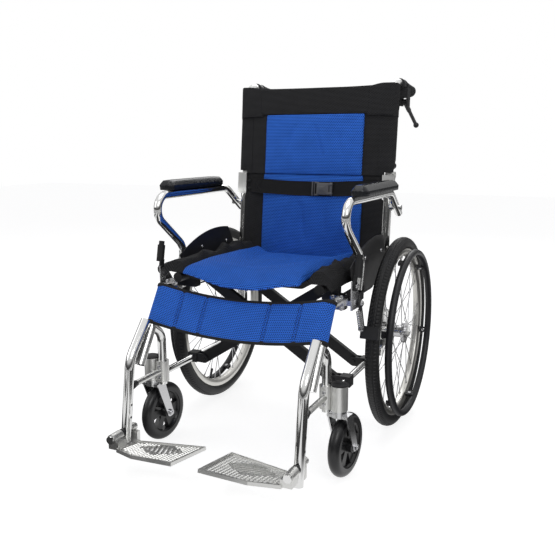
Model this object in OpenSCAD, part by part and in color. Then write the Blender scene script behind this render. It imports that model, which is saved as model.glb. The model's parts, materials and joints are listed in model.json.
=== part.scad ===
// Folding self-propelled wheelchair with spoked rear wheels, half-folding back and flip-up armrests.
// Frame: +Z up, the chair faces -Y, +X is the sitter's left, origin on the floor under the middle.

/* [Overall] */
// Distance between the centre planes of the two side frames
frame_w = 434; // [400:1:500]
// Distance from the rear axle forward to the footplates' front edge
foot_reach = 650; // [630:1:680]
// Distance from the rear axle back to the end of the hand brake levers
lever_reach = 300; // [280:1:330]

/* [Rear wheels] */
// Outer diameter of the rear tyre
wheel_d = 508; // [490:1:530]
// Width of the rear tyre
tyre_w = 34; // [28:1:40]
// Radial height of the rear tyre
tyre_h = 30; // [24:1:34]
// Width of the rim
rim_w = 24; // [20:1:28]
// Radial depth of the rim
rim_h = 20; // [16:1:26]
// Gap between the frame tube and the tyre
wheel_gap = 26; // [22:1:34]
// Number of spokes, half of them on each flange
spoke_count = 28; // [20:4:36]
// Diameter of a spoke
spoke_d = 2.2; // [1.8:0.1:2.4]
// Angle that a spoke turns back from its flange hole to its rim hole
spoke_lace = 48; // [36:1:54]
// Distance of the handrim's centre line inside the tyre's outer edge
handrim_set = 40; // [34:1:48]
// Diameter of the handrim tube
handrim_tube_d = 18; // [16:1:20]
// Gap between the tyre and the handrim tube
handrim_gap = 8; // [6:1:14]
// Number of tabs that carry the handrim
handrim_tabs = 6; // [5:1:8]
// Diameter of the hub barrel
hub_d = 32; // [28:1:38]
// Diameter of the hub flanges
flange_d = 58; // [52:1:66]
// Diameter of the rear axle
axle_d = 12; // [10:1:14]

/* [Casters] */
// Outer diameter of the caster wheel
caster_d = 149; // [140:1:160]
// Width of the caster wheel
caster_w = 28; // [24:1:32]
// Radial height of the caster tyre
caster_tyre_h = 17; // [14:1:20]
// Number of openings in the caster wheel
caster_windows = 6; // [5:1:8]
// Distance of the caster axle behind its stem
caster_trail = 36; // [30:1:42]
// Angle that the casters stand turned
caster_yaw = 6; // [0:1:12]
// Distance of the stem forward of the rear axle
caster_set = 400; // [390:1:410]
// Distance of the stem outside the frame plane
stem_out = 31; // [29:1:36]
// Diameter of the caster stem
stem_d = 16; // [12:1:18]
// Outer diameter of the stem housing
housing_d = 38; // [34:1:42]
// Height of the stem housing
housing_h = 57; // [50:1:64]
// Thickness of a fork leg
fork_t = 4; // [3:0.5:5]

/* [Side frame] */
// Diameter of the frame tubes
tube_d = 22; // [20:0.5:24]
// Diameter of the lower tube
low_d = 17; // [15:0.5:19]
// Height of the upper rail
rail_z = 400; // [390:1:410]
// Height of the lower tube above the foot of the stem housing
low_rise = 20; // [16:1:26]
// Distance of the rear post behind the axle at axle height
post_set = 18; // [12:1:24]
// Backward lean of the back posts
recline = 5.7; // [3:0.1:8]
// Distance from the axle forward to the corner of the upper rail
rail_front = 388; // [382:1:394]
// Length of the inclined front post
front_post_len = 192; // [180:1:200]
// Lean of the inclined front post from the vertical
front_rake = 32.7; // [30:0.1:35]

/* [Folding cross] */
// Distance from the frame plane in to the cross pivots
brace_in = 32; // [30:1:38]
// Distance of the front cross bars forward of the axle
brace_front = 255; // [240:1:270]
// Distance of the rear cross bars forward of the axle
brace_rear = 98; // [90:1:115]
// Depth of a cross bar, seen from the front
bar_w = 28; // [24:1:30]
// Thickness of a cross bar, front to back
bar_t = 14; // [12:1:16]
// Diameter of the pivot pins
pin_d = 10; // [8:1:12]
// Diameter of the seat rails
seat_rail_d = 24; // [22:1:26]
// Height of the seat rails above the upper rails
seat_rail_rise = 30; // [28:1:36]

/* [Seat] */
// Distance from the axle forward to the front of the seat sling
seat_front = 372; // [360:1:378]
// Half width of the seat cushion
cushion_half = 150; // [135:1:155]
// Thickness of the seat cushion
cushion_t = 30; // [24:1:36]
// Height of the padded wings beside the cushion
wing_h = 26; // [18:1:32]

/* [Back] */
// Height of the back hinges
hinge_z = 668; // [660:1:680]
// Height of the push handles where they leave the posts
handle_z = 916; // [905:1:930]
// Length of a push handle behind its post
handle_len = 172; // [165:1:185]
// Downward slope of the push handles
handle_drop = 6; // [3:1:8]
// Length of a hand grip
grip_len = 98; // [85:1:105]
// Diameter of a hand grip
grip_d = 31; // [28:1:34]
// Half width of the padded back panel
pad_half = 146; // [130:1:155]
// Thickness of the padded back panel
pad_t = 16; // [12:1:20]

/* [Armrests] */
// Distance of the armrest tube outside the frame plane
arm_out = 25; // [24.5:0.5:28]
// Diameter of the armrest tube
arm_d = 20; // [18:1:21]
// Height of the armrest tube
arm_z = 626; // [616:1:640]
// Height of the armrest pivot
arm_pivot_z = 582; // [575:1:590]
// Distance from the axle forward to the armrest's front bend
arm_reach = 362; // [352:1:375]
// Length of the armrest pad
pad_len = 276; // [255:1:285]
// Width of the armrest pad
pad_w = 42; // [38:1:44]
// Height of the armrest pad
pad_h = 24; // [20:1:28]

/* [Leg rests] */
// Diameter of the leg tube
leg_d = 23; // [21:0.5:25]
// Height of the footplate hinge
foot_z = 98; // [92:1:106]
// Thickness of the footplate
plate_t = 8; // [6:1:10]
// Distance of the footplate's inner edge from the middle
plate_gap = 32; // [26:1:44]
// Depth of the footplate, front to back
plate_depth = 146; // [130:1:150]

/* [Brakes] */
// Length of the parking brake handle
park_len = 70; // [60:1:78]
// Gap between the brake shoe and the tyre
shoe_gap = 1.5; // [1:0.5:3]

/* [Hidden] */
$fn = 48;
// Radial clearance of a running fit
fit = 0.05;
// Clearance between pieces that lie beside each other
clear = 0.4;
// Thickness of the upholstery cloth
cloth = 3;
// A bent stretch is this much fatter than the straight tube that runs into it
bend_swell = 0.05;
// Length that a straight tube runs into a bend
bend_lap = 1;
tube_r = tube_d / 2;
// Tubes that end on another tube are a step thinner than it
weld_step = 0.5;
post_r = tube_r + weld_step;
tie_r = tube_r - weld_step;
low_r = low_d / 2;
pin_r = pin_d / 2;
frame_x = frame_w / 2;
axle_y = (foot_reach - lever_reach) / 2;
axle_z = wheel_d / 2;
wheel_x = frame_x + tube_r + wheel_gap + tyre_w / 2;
rim_r = wheel_d / 2 - tyre_h;
rim_in_r = rim_r - rim_h;
handrim_x = wheel_x + tyre_w / 2 + handrim_gap + handrim_tube_d / 2;
handrim_d = wheel_d - 2 * handrim_set;
hub_half = tyre_w / 2 + 8;
flange_mid = tyre_w / 2 + 1;
flange_t = 8;
// Casters: the fork crown runs between the wheel and the stem housing
crown_gap = 6;
crown_t = 15.5;
housing_z = caster_d + crown_gap + crown_t + clear;
housing_top = housing_z + housing_h;
stem_x = frame_x + stem_out;
fork_in = caster_w / 2 + 7;
caster_axle_d = 8;
// Side frame
low_z = housing_z + low_rise;
front_corner = [frame_x, -rail_front, rail_z];
front_dir = [0, -sin(front_rake), -cos(front_rake)];
front_end = front_corner + front_post_len * front_dir;
tie_drop = 95;
tie_end = front_corner + tie_drop * front_dir;
tie_rise = 28;
post_top_gap = 12;
// Folding cross
brace_x = frame_x - brace_in;
seat_rail_z = rail_z + seat_rail_rise;
seat_rail_r = seat_rail_d / 2;
brace_dy = bar_t / 2 + 1;
brace_tilt = atan((seat_rail_z - low_z) / (2 * brace_x));
brace_len = (seat_rail_z - low_z) / sin(brace_tilt);
brace_sets = [-brace_front, -brace_rear];
seat_rail_back = 4;
cradle_sets = [-brace_front - 46, -brace_rear + 40];
ear_t = 4;
// Back
post_dir = [0, sin(recline), cos(recline)];
hinge_back = tube_r + 3;
hinge_ear_x = 9;
hinge_ear_t = 4.2;
hinge_half = hinge_ear_x + hinge_ear_t;
low_off = 8;
sleeve_r = tube_r + cloth;
handle_dir = [0, cos(handle_drop), -sin(handle_drop)];
handle_corner = [frame_x, post_y(handle_z), handle_z];
handle_bend = 44;
clamp_start = 52;
clamp_len = 26;
lever_out = 12;
lever_pivot = handle_corner + 70 * handle_dir + [lever_out, 0, -46];
lever_tip = [frame_x + lever_out, lever_reach - 8, handle_z - 112];
lever_cheek = 11;
lever_slot = 14;
bracket_mid = handle_corner + (clamp_start + clamp_len / 2) * handle_dir;
bracket_low = bracket_mid.z - 39;
// Armrests
arm_x = frame_x + arm_out;
arm_r = arm_d / 2;
arm_pivot = [arm_x, post_y(arm_pivot_z), arm_pivot_z];
arm_tail_slope = 34;
arm_tail_len = 32;
arm_bend = 36;
arm_slope = 37;
arm_leg_lean = 15;
arm_foot = [arm_x, -268, rail_z + 16];
pad_x = frame_x + sleeve_r + 1 + pad_w / 2;
// Leg rests
leg_r = leg_d / 2;
leg_top = [frame_x, front_corner.y - 75, rail_z - 60];
leg_knee = [frame_x, front_end.y - 38, front_end.z + 24];
leg_set = 90.27;
leg_foot = [frame_x, -foot_reach + leg_set, foot_z - 42];
foot_pin_d = 12;
stop_len = 17;
stop_z = low_z + 8;
knuckle_d = 22;
knuckle_len = 32;
heel_len = 12;
foot_knuckle_y = leg_foot.y - 50;
foot_heel_y = leg_y(foot_z) + leg_r + 3;
plate_drop = 18;
plate_pitch = 9.6;
plate_cant = 3.7;
plate_rim_t = 5;
plate_out = frame_x - leg_r - 3;
// Parking brakes
park_x = arm_x + arm_r + 2;
park_pivot = [park_x, -334, rail_z + 40];
shoe_pivot = [park_x, -296, rail_z - 8];
shoe_angle = 13;
shoe_w = tyre_w + 10;
shoe_t = 16;

function post_y(z) = post_set + (z - axle_z) * tan(recline);
function unit(v) = v / norm(v);
function smooth(t) = let(c = max(0, min(1, t))) c * c * (3 - 2 * c);
// Point at distance s along the back post and d in front of its axis, at x across
function on_back(x, z, d) = [x, post_y(z) - d * cos(recline), z + d * sin(recline)];

SIDE_NODES = ["frame", "fittings", "caster_housing", "caster_fork", "caster_wheel", "tyre", "rim",
    "spokes", "hub", "handrim", "arm_tube", "arm_pad", "skirt_guard", "leg_tube", "footplate",
    "back_post", "grip", "lever_bracket", "brake_lever", "back_hinge", "back_release",
    "park_base", "park_lever", "park_shoe", "brake_cable"];

// Moves a shape from the rear axle's place to the chair's frame, mirrored for the right side
module on_side(side) {
    translate([0, axle_y, 0])
        mirror([side < 0 ? 1 : 0, 0, 0])
            children();
}

// Round bar from a to b
module run(a, b, r) {
    d = b - a;
    translate(a)
        rotate([0, acos(d.z / norm(d)), atan2(d.y, d.x)])
            cylinder(h = norm(d), r = r);
}

// Length that a bend of radius bend takes from the legs of corner p
function bend_leg(a, p, b, bend) = bend * tan(acos(unit(p - a) * unit(b - p)) / 2);

// Bent piece of tube at corner p of the path a, p, b
module elbow(a, p, b, bend, r) {
    u = unit(p - a);
    v = unit(b - p);
    n = unit(cross(u, v));
    inward = cross(n, u);
    c = p - u * bend_leg(a, p, b, bend) + inward * bend;
    multmatrix([[-inward.x, u.x, n.x, c.x], [-inward.y, u.y, n.y, c.y], [-inward.z, u.z, n.z, c.z]])
        rotate_extrude(angle = acos(u * v))
            translate([bend, 0])
                circle(r = r + bend_swell);
}

// Tube along corner points, with one bend radius for each inner corner
module pipe(points, bends, r) {
    last = len(points) - 1;
    legs = [for (i = [0 : last])
        i == 0 || i == last ? 0 : bend_leg(points[i - 1], points[i], points[i + 1], bends[i - 1]) - bend_lap];
    for (i = [0 : last - 1]) {
        d = unit(points[i + 1] - points[i]);
        run(points[i] + d * legs[i], points[i + 1] - d * legs[i + 1], r);
    }
    for (i = [1 : last - 1])
        elbow(points[i - 1], points[i], points[i + 1], bends[i - 1], r);
}

// Rod along X, centred on p
module cross_rod(p, r, length) {
    translate(p)
        rotate([0, 90, 0])
            cylinder(h = length, r = r, center = true);
}

// Rod along Y, centred on p
module long_rod(p, r, length) {
    translate(p)
        rotate([90, 0, 0])
            cylinder(h = length, r = r, center = true);
}

// Block centred on p
module block(p, size) {
    translate(p)
        cube(size, center = true);
}

// Turns a profile drawn as (radius, across) into a ring about the X axis, centred on p
module ring_about_x(p) {
    translate(p)
        rotate([0, 90, 0])
            rotate_extrude()
                children();
}

// Places an outline drawn as (y, z) in the plane x = const, with thickness t from there outward
module side_plate(x, t) {
    translate([x, 0, 0])
        rotate([90, 0, 90])
            linear_extrude(height = t)
                children();
}

// Closed cloth solid between two surfaces given as functions of u and v from 0 to 1
module slab(nu, nv, front, back) {
    row = nu + 1;
    count = row * (nv + 1);
    points = [for (f = [front, back], j = [0 : nv], i = [0 : nu]) f(i / nu, j / nv)];
    function cell(a, b, c, d) = [[a, b, c], [a, c, d]];
    faces = [
        for (j = [0 : nv - 1], i = [0 : nu - 1])
            let (p = j * row + i)
                each concat(cell(p, p + row, p + row + 1, p + 1),
                            cell(count + p, count + p + 1, count + p + row + 1, count + p + row)),
        for (i = [0 : nu - 1])
            let (p = i, q = nv * row + i)
                each concat(cell(p, p + 1, count + p + 1, count + p),
                            cell(q, count + q, count + q + 1, q + 1)),
        for (j = [0 : nv - 1])
            let (p = j * row, q = j * row + nu)
                each concat(cell(p, count + p, count + p + row, p + row),
                            cell(q, q + row, count + q + row, count + q))];
    polyhedron(points, faces);
}

// Round cord swept along points; it never runs along X, so X gives each ring its direction
module cord(points, r, sides) {
    last = len(points) - 1;
    tangents = [for (i = [0 : last]) unit(points[min(last, i + 1)] - points[max(0, i - 1)])];
    rings = [for (i = [0 : last], k = [0 : sides - 1])
        let (e = unit(cross(tangents[i], [1, 0, 0])), f = cross(tangents[i], e), a = 360 * k / sides)
            points[i] + r * (cos(a) * e + sin(a) * f)];
    faces = [
        [for (k = [0 : sides - 1]) k],
        [for (k = [sides - 1 : -1 : 0]) last * sides + k],
        for (i = [0 : last - 1], k = [0 : sides - 1])
            let (a = i * sides + k, b = i * sides + (k + 1) % sides)
                each [[a, a + sides, b], [b, a + sides, b + sides]]];
    polyhedron(rings, faces);
}

// Smooth curve through a route's points, with steps points on each stretch
function curve(p, steps) = [
    for (i = [0 : len(p) - 2], s = [0 : steps - 1])
        let (t = s / steps, a = p[max(0, i - 1)], b = p[i], c = p[i + 1], d = p[min(len(p) - 1, i + 2)])
            0.5 * (2 * b + (c - a) * t + (2 * a - 5 * b + 4 * c - d) * t * t
                   + (3 * b - a - 3 * c + d) * t * t * t),
    p[len(p) - 1]];

// Rear wheel

module tyre(side) {
    side_w = rim_w / 2 + 3;
    color([0.08, 0.08, 0.09])
        on_side(side)
            ring_about_x([wheel_x, 0, axle_z])
                difference() {
                    union() {
                        translate([wheel_d / 2 - tyre_w / 2, 0])
                            circle(d = tyre_w);
                        translate([rim_r, -side_w])
                            square([tyre_h - tyre_w / 2, 2 * side_w]);
                    }
                    translate([rim_r - tyre_w, -tyre_w])
                        square([tyre_w, 2 * tyre_w]);
                }
}

module rim(side) {
    color([0.62, 0.61, 0.58])
        on_side(side)
            ring_about_x([wheel_x, 0, axle_z])
                polygon([[rim_r, -rim_w / 2], [rim_r, rim_w / 2], [rim_r - rim_h * 0.55, rim_w / 2],
                         [rim_in_r, rim_w / 4], [rim_in_r, -rim_w / 4], [rim_r - rim_h * 0.55, -rim_w / 2]]);
}

// Spokes leave the two faces of each flange by turns and lean forward and back by turns
module spokes(side) {
    head_r = flange_d / 2 - 4;
    nipple_r = rim_in_r + 3;
    per_flange = spoke_count / 2;
    color([0.75, 0.75, 0.76])
        on_side(side)
            for (f = [-1, 1], k = [0 : per_flange - 1]) {
                lean = k % 2 == 0 ? 1 : -1;
                a = 360 * (k + (f < 0 ? 0 : 0.5)) / per_flange;
                b = a + lean * spoke_lace;
                head_x = wheel_x + f * flange_mid + lean * 2.6;
                run([head_x, head_r * cos(a), axle_z + head_r * sin(a)],
                    [wheel_x + f * 3, nipple_r * cos(b), axle_z + nipple_r * sin(b)], spoke_d / 2);
            }
}

module hub(side) {
    color([0.7, 0.7, 0.71])
        on_side(side)
            difference() {
                union() {
                    cross_rod([wheel_x, 0, axle_z], hub_d / 2, 2 * hub_half);
                    for (f = [-1, 1])
                        cross_rod([wheel_x + f * flange_mid, 0, axle_z], flange_d / 2, flange_t);
                }
                cross_rod([wheel_x, 0, axle_z], axle_d / 2 + fit, 2 * hub_half + 2);
            }
}

module handrim(side) {
    tab_in = wheel_x + rim_w / 2;
    tab_r = min(handrim_d / 2, rim_r) - 4;
    color([0.1, 0.1, 0.11])
        on_side(side) {
            ring_about_x([handrim_x, 0, axle_z])
                translate([handrim_d / 2, 0])
                    circle(d = handrim_tube_d);
            for (k = [0 : handrim_tabs - 1])
                translate([0, 0, axle_z])
                    rotate([360 * k / handrim_tabs + 18, 0, 0])
                        block([(tab_in + handrim_x) / 2, 0, tab_r - 3], [handrim_x - tab_in, 16, 8]);
        }
}

// Side frame

module frame_tubes() {
    run(on_back(frame_x, low_z - 14, 0), on_back(frame_x, hinge_z - post_top_gap, 0), post_r);
    pipe([on_back(frame_x, rail_z, 0), front_corner, front_end], [50], tube_r);
    run(on_back(frame_x, low_z, 0), [frame_x, -caster_set, low_z], low_r);
    pipe([[frame_x, -caster_set, housing_z - 8], [frame_x, -caster_set, tie_end.z - tie_rise], tie_end],
         [40], tie_r);
}

module axle_mount() {
    plate_x = frame_x + tube_r - 3;
    nut_x = wheel_x + hub_half + clear;
    side_plate(plate_x, 8)
        translate([post_set / 2, axle_z])
            square([post_set + 44, 96], center = true);
    run([plate_x, 0, axle_z], [nut_x + 8, 0, axle_z], axle_d / 2);
    run([plate_x, 0, axle_z], [wheel_x - hub_half - clear, 0, axle_z], axle_d / 2 + 3);
    translate([nut_x, 0, axle_z])
        rotate([0, 90, 0])
            cylinder(h = 6, d = axle_d + 9, $fn = 6);
}

module arm_mount() {
    boss_end = arm_x - arm_r - clear;
    run([frame_x, arm_pivot.y, arm_pivot.z], [boss_end, arm_pivot.y, arm_pivot.z], 9);
    run([frame_x, arm_pivot.y, arm_pivot.z], arm_pivot + [arm_r + 4, 0, 0], pin_r);
    run(arm_pivot + [arm_r + clear, 0, 0], arm_pivot + [arm_r + 4, 0, 0], 8);
}

module frame(side) {
    color([0.78, 0.78, 0.8])
        on_side(side) {
            frame_tubes();
            axle_mount();
            arm_mount();
        }
}

// Black fittings of one side: cross clamps, seat rail cradles, armrest rest, stem cap, rubber stop
module cross_clamp(y) {
    block_w = 2 * low_r + 9;
    ear_y = bar_t / 2 + clear;
    difference() {
        union() {
            block([frame_x, y, low_z], [block_w, bar_t + 2 * ear_t + 6, block_w]);
            for (f = [-1, 1]) {
                ear_mid = y + f * (ear_y + ear_t / 2);
                block([(brace_x + frame_x) / 2, ear_mid, low_z], [frame_x - brace_x, ear_t, bar_w - 4]);
                long_rod([brace_x, ear_mid, low_z], bar_w / 2 - 2, ear_t);
            }
        }
        long_rod([frame_x, y, low_z], low_r + fit, 100);
    }
    long_rod([brace_x, y, low_z], pin_r, bar_t + 2 * ear_t + 6);
}

module seat_cradle(y) {
    cup_r = seat_rail_r + clear;
    top = seat_rail_z - 3;
    foot = rail_z - 4;
    difference() {
        block([(brace_x - cup_r - 3 + frame_x) / 2, y, (top + foot) / 2],
              [frame_x - brace_x + cup_r + 3, 24, top - foot]);
        long_rod([brace_x, y, seat_rail_z], cup_r, 30);
        long_rod([frame_x, y, rail_z], tube_r + fit, 30);
        block([frame_x, y, rail_z + tube_r + 20], [16, 30, 40]);
    }
}

module arm_rest_cup() {
    foot = rail_z - 6;
    seat = arm_foot.z - arm_r * sin(arm_leg_lean) - clear;
    difference() {
        union() {
            block([(frame_x + arm_x + arm_r) / 2, arm_foot.y, (foot + seat) / 2],
                  [arm_x + arm_r - frame_x, 30, seat - foot]);
            block([arm_x, arm_foot.y + arm_r + 7, seat + 5], [2 * arm_r, 6, 14]);
        }
        long_rod([frame_x, arm_foot.y, rail_z], tube_r + fit, 60);
    }
}

module stop_cone() {
    translate([frame_x, leg_y(stop_z) + leg_r + stop_len + 1, stop_z])
        rotate([90, 0, 0])
            cylinder(h = stop_len - 1, r1 = 7, r2 = 10);
}

// Bush on the footplate's pin, between its front knuckle and the leg tube
module foot_bush() {
    difference() {
        run([frame_x, leg_y(foot_z) - leg_r - 2.5, foot_z],
            [frame_x, foot_knuckle_y + knuckle_len + clear, foot_z], knuckle_d / 2 - 1);
        long_rod([frame_x, leg_foot.y, foot_z], foot_pin_d / 2 + fit, 300);
    }
}

module fittings(side, dy) {
    color([0.09, 0.09, 0.1])
        on_side(side) {
            for (y = brace_sets)
                cross_clamp(y + dy);
            for (y = cradle_sets)
                seat_cradle(y);
            arm_rest_cup();
            stop_cone();
            foot_bush();
            translate([stem_x, -caster_set, housing_top])
                rotate_extrude()
                    intersection() {
                        translate([0, -housing_d])
                            circle(r = housing_d + 8);
                        square([housing_d / 2 + 1, 20]);
                    }
        }
}

// Cast housing for the caster stem, clamped to the front upright, with the bar of the leg stop
module caster_housing(side) {
    mid_z = (housing_z + housing_top) / 2;
    color([0.8, 0.8, 0.8])
        on_side(side)
            difference() {
                union() {
                    run([stem_x, -caster_set, housing_z], [stem_x, -caster_set, housing_top], housing_d / 2);
                    run([frame_x, -caster_set, housing_z], [frame_x, -caster_set, housing_top - 4],
                        tie_r + 5.5);
                    block([(frame_x + stem_x) / 2, -caster_set, mid_z], [stem_out, 16, housing_h - 8]);
                    run([frame_x, -caster_set, stop_z],
                        [frame_x, leg_y(stop_z) + leg_r + stop_len + 1.2, stop_z], 7);
                }
                run([stem_x, -caster_set, housing_z - 1], [stem_x, -caster_set, housing_top - 8],
                    stem_d / 2 + fit);
                run([frame_x, -caster_set, housing_z - 30], [frame_x, -caster_set, housing_top + 30],
                    tie_r + fit);
                run([frame_x, -caster_set, low_z], [frame_x, 0, low_z], low_r + fit);
            }
}

// Turns what is drawn behind a stem at the origin to the caster's place
module at_caster(side) {
    translate([0, axle_y, 0])
        translate([side * stem_x, -caster_set, 0])
            rotate([0, 0, -caster_yaw])
                children();
}

module caster_fork(side) {
    hub_z = caster_d / 2;
    crown_z = caster_d + crown_gap;
    leg_top_half = 15;
    color([0.72, 0.72, 0.73])
        at_caster(side) {
            translate([0, 0, crown_z])
                cylinder(h = housing_top - 10 - crown_z, d = stem_d);
            translate([0, 0, crown_z])
                cylinder(h = crown_t, d = housing_d - 4);
            block([0, 3, crown_z + 3], [2 * (fork_in + fork_t), 2 * leg_top_half, 6]);
            for (f = [-1, 1])
                side_plate(f > 0 ? fork_in : -fork_in - fork_t, fork_t)
                    union() {
                        polygon([[3 - leg_top_half, crown_z + 6], [3 + leg_top_half, crown_z + 6],
                                 [caster_trail + 10, hub_z + 4], [caster_trail - 10, hub_z - 4]]);
                        translate([caster_trail, hub_z])
                            circle(r = 11);
                    }
            cross_rod([0, caster_trail, hub_z], caster_axle_d / 2, 2 * (fork_in + fork_t) + 12);
            for (f = [-1, 1])
                cross_rod([f * (fork_in + fork_t + 2.5), caster_trail, hub_z], 7, 5);
        }
}

module caster_wheel(side) {
    core_r = caster_d / 2 - caster_tyre_h;
    boss_r = 15;
    web_t = caster_w * 0.45;
    color([0.1, 0.1, 0.1])
        at_caster(side)
            difference() {
                union() {
                    ring_about_x([0, caster_trail, caster_d / 2]) {
                        translate([caster_d / 2 - caster_w / 2, 0])
                            circle(d = caster_w);
                        translate([core_r - 5, -caster_w / 2])
                            square([caster_tyre_h + 5 - caster_w / 2, caster_w]);
                    }
                    cross_rod([0, caster_trail, caster_d / 2], core_r - 2, web_t);
                    cross_rod([0, caster_trail, caster_d / 2], boss_r, 2 * (fork_in - clear));
                }
                cross_rod([0, caster_trail, caster_d / 2], caster_axle_d / 2 + fit, 100);
                for (k = [0 : caster_windows - 1])
                    translate([0, caster_trail, caster_d / 2])
                        rotate([360 * k / caster_windows, 0, 0])
                            side_plate(-20, 40)
                                polygon([[-3, boss_r + 5], [3, boss_r + 5],
                                         [14, core_r - 9], [-14, core_r - 9]]);
            }
}

// Armrest

module arm_tube(side) {
    turn = 180 - arm_slope;
    tail = arm_pivot + arm_tail_len * [0, cos(arm_tail_slope), -sin(arm_tail_slope)];
    rear = [arm_x, arm_pivot.y - (arm_z - arm_pivot.z) / tan(arm_tail_slope), arm_z];
    front = [arm_x, -(arm_reach - arm_bend) - arm_bend * tan(turn / 2), arm_z];
    lean = tan(arm_leg_lean);
    slope_len = (arm_foot.y + (arm_z - arm_foot.z) * lean - front.y)
        / (cos(arm_slope) + sin(arm_slope) * lean);
    knee = front + slope_len * [0, cos(arm_slope), -sin(arm_slope)];
    color([0.8, 0.8, 0.82])
        on_side(side)
            difference() {
                pipe([tail, rear, front, knee, arm_foot], [60, arm_bend, 40], arm_r);
                cross_rod(arm_pivot, pin_r + fit, 4 * arm_r);
                run(tail + 18 * unit(rear - tail), tail - unit(rear - tail), arm_r - 2);
            }
}

module arm_pad(side) {
    back = -42;
    bevel = 12;
    low = arm_z + arm_r + 0.2;
    front_r = pad_w * 0.62;
    half = pad_w / 2;
    color([0.1, 0.1, 0.11])
        on_side(side)
            intersection() {
                translate([pad_x, back, low])
                    rotate([90, 0, 0])
                        linear_extrude(height = pad_len)
                            polygon([[-half, 0], [half, 0], [half, pad_h - bevel], [half - bevel, pad_h],
                                     [bevel - half, pad_h], [-half, pad_h - bevel]]);
                side_plate(pad_x - pad_w, 2 * pad_w)
                    polygon([[back, low], [back, low + pad_h - bevel], [back - bevel, low + pad_h],
                             [back - pad_len + 2 * bevel, low + pad_h],
                             [back - pad_len, low + pad_h - bevel], [back - pad_len, low]]);
                translate([pad_x, back, low])
                    linear_extrude(height = pad_h)
                        union() {
                            translate([-half, -pad_len + front_r])
                                square([pad_w, pad_len - front_r]);
                            translate([0, -pad_len + front_r])
                                circle(r = front_r);
                        }
            }
}

module skirt_guard(side) {
    arc_r = 410;
    peak = [-89, rail_z + 121];
    color([0.11, 0.11, 0.12])
        on_side(side)
            side_plate(frame_x + tube_r + 0.2, 2)
                intersection() {
                    translate([peak.x, peak.y - arc_r])
                        circle(r = arc_r, $fn = 96);
                    polygon([[-230, rail_z - 4], [-2, rail_z - 4], [-2, rail_z + 72], [-42, rail_z + 130],
                             [-300, rail_z + 130], [-285, rail_z + 52]]);
                }
}

// Place of the leg tube's axis at height z, below its knee
function leg_y(z) = leg_knee.y + (leg_foot.y - leg_knee.y) * (leg_knee.z - z) / (leg_knee.z - leg_foot.z);

// Leg rest: tube with the footplate's pin and the web that holds it to the front post
module leg_tube(side) {
    pin_front = foot_knuckle_y - 3;
    pin_rear = foot_heel_y + heel_len + 3;
    head_r = foot_pin_d / 2 + 3;
    web_t = 7;
    color([0.8, 0.8, 0.81])
        on_side(side)
            difference() {
                union() {
                    pipe([leg_top, leg_knee, leg_foot], [80], leg_r);
                    run([frame_x, pin_rear, foot_z], [frame_x, pin_front, foot_z], foot_pin_d / 2);
                    run([frame_x, pin_front + 2.6, foot_z], [frame_x, pin_front - 3, foot_z], head_r);
                    run([frame_x, pin_rear - 2.6, foot_z], [frame_x, pin_rear + 2, foot_z], head_r);
                    side_plate(frame_x - web_t / 2, web_t)
                        polygon([for (p = [front_corner + 96 * front_dir, front_corner + 180 * front_dir,
                                           leg_knee + [0, 4, -16], leg_top + 0.2 * (leg_knee - leg_top)])
                                 [p.y, p.z]]);
                }
                run(front_corner, front_end + front_dir, tube_r + 0.2);
                for (s = [0.5, 0.64])
                    cross_rod(leg_knee + s * (leg_foot - leg_knee), 3, 4 * leg_r);
            }
}

// Cast footplate: tray with a raised edge, a diamond of slots, and a knuckle on each side of the leg tube
module plate_outline(inset) {
    front = -foot_reach + inset;
    polygon([[plate_gap + inset, front], [0.65 * plate_out + 10, front + 9],
             [plate_out - inset, front + 38], [plate_out - inset, foot_heel_y + heel_len - inset],
             [plate_gap + 2 + inset, -foot_reach + plate_depth - inset]]);
}

module plate_tray() {
    mid = [(plate_gap + plate_out) / 2 - 4, -foot_reach + plate_depth * 0.58];
    difference() {
        linear_extrude(height = plate_t)
            plate_outline(0);
        translate([0, 0, plate_t - 2.5])
            linear_extrude(height = plate_t)
                plate_outline(plate_rim_t);
        for (i = [-4 : 4])
            translate([mid.x + i * 12, mid.y, -1])
                rotate([0, 0, -24])
                    linear_extrude(height = plate_t + 2)
                        square([5, 66 * (1 - abs(i) / 5.2)], center = true);
    }
}

module footplate(side) {
    top = foot_z - plate_drop;
    lug_x = plate_out - plate_rim_t + 1;
    knuckles = [[foot_knuckle_y, knuckle_len, knuckle_d / 2, 17], [foot_heel_y, heel_len, 9, 30]];
    color([0.74, 0.74, 0.74])
        on_side(side)
            difference() {
                union() {
                    translate([plate_out, foot_knuckle_y, top])
                        rotate([-plate_pitch, plate_cant, 0])
                            translate([-plate_out, -foot_knuckle_y, -plate_t])
                                plate_tray();
                    for (k = knuckles) {
                        run([frame_x, k[0], foot_z], [frame_x, k[0] + k[1], foot_z], k[2]);
                        block([(lug_x + frame_x + k[2] - 3) / 2, k[0] + k[1] / 2, foot_z - 6 - k[3] / 2],
                              [frame_x + k[2] - 3 - lug_x, k[1], k[3]]);
                    }
                }
                long_rod([frame_x, leg_foot.y, foot_z], foot_pin_d / 2 + fit, 300);
            }
}

// Back

module back_post(side) {
    foot = on_back(frame_x, hinge_z + 5, 0);
    end = handle_corner + handle_len * handle_dir;
    pivot = on_back(frame_x, hinge_z, -hinge_back);
    knob_at = on_back(frame_x, hinge_z + 26, 0);
    color([0.8, 0.8, 0.82])
        on_side(side)
            difference() {
                union() {
                    pipe([foot, handle_corner, end], [handle_bend], tube_r);
                    cross_rod(pivot, 8, 2 * hinge_ear_x - 2 * clear);
                    translate(pivot)
                        rotate([-recline, 0, 0])
                            block([0, -8, 6], [2 * hinge_ear_x - 2 * clear - 2 * weld_step, 18, 9]);
                }
                cross_rod(pivot, 4 + fit, 100);
                run(knob_at, on_back(frame_x, hinge_z + 26, -2 * tube_r), 4 + fit);
            }
}

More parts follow.
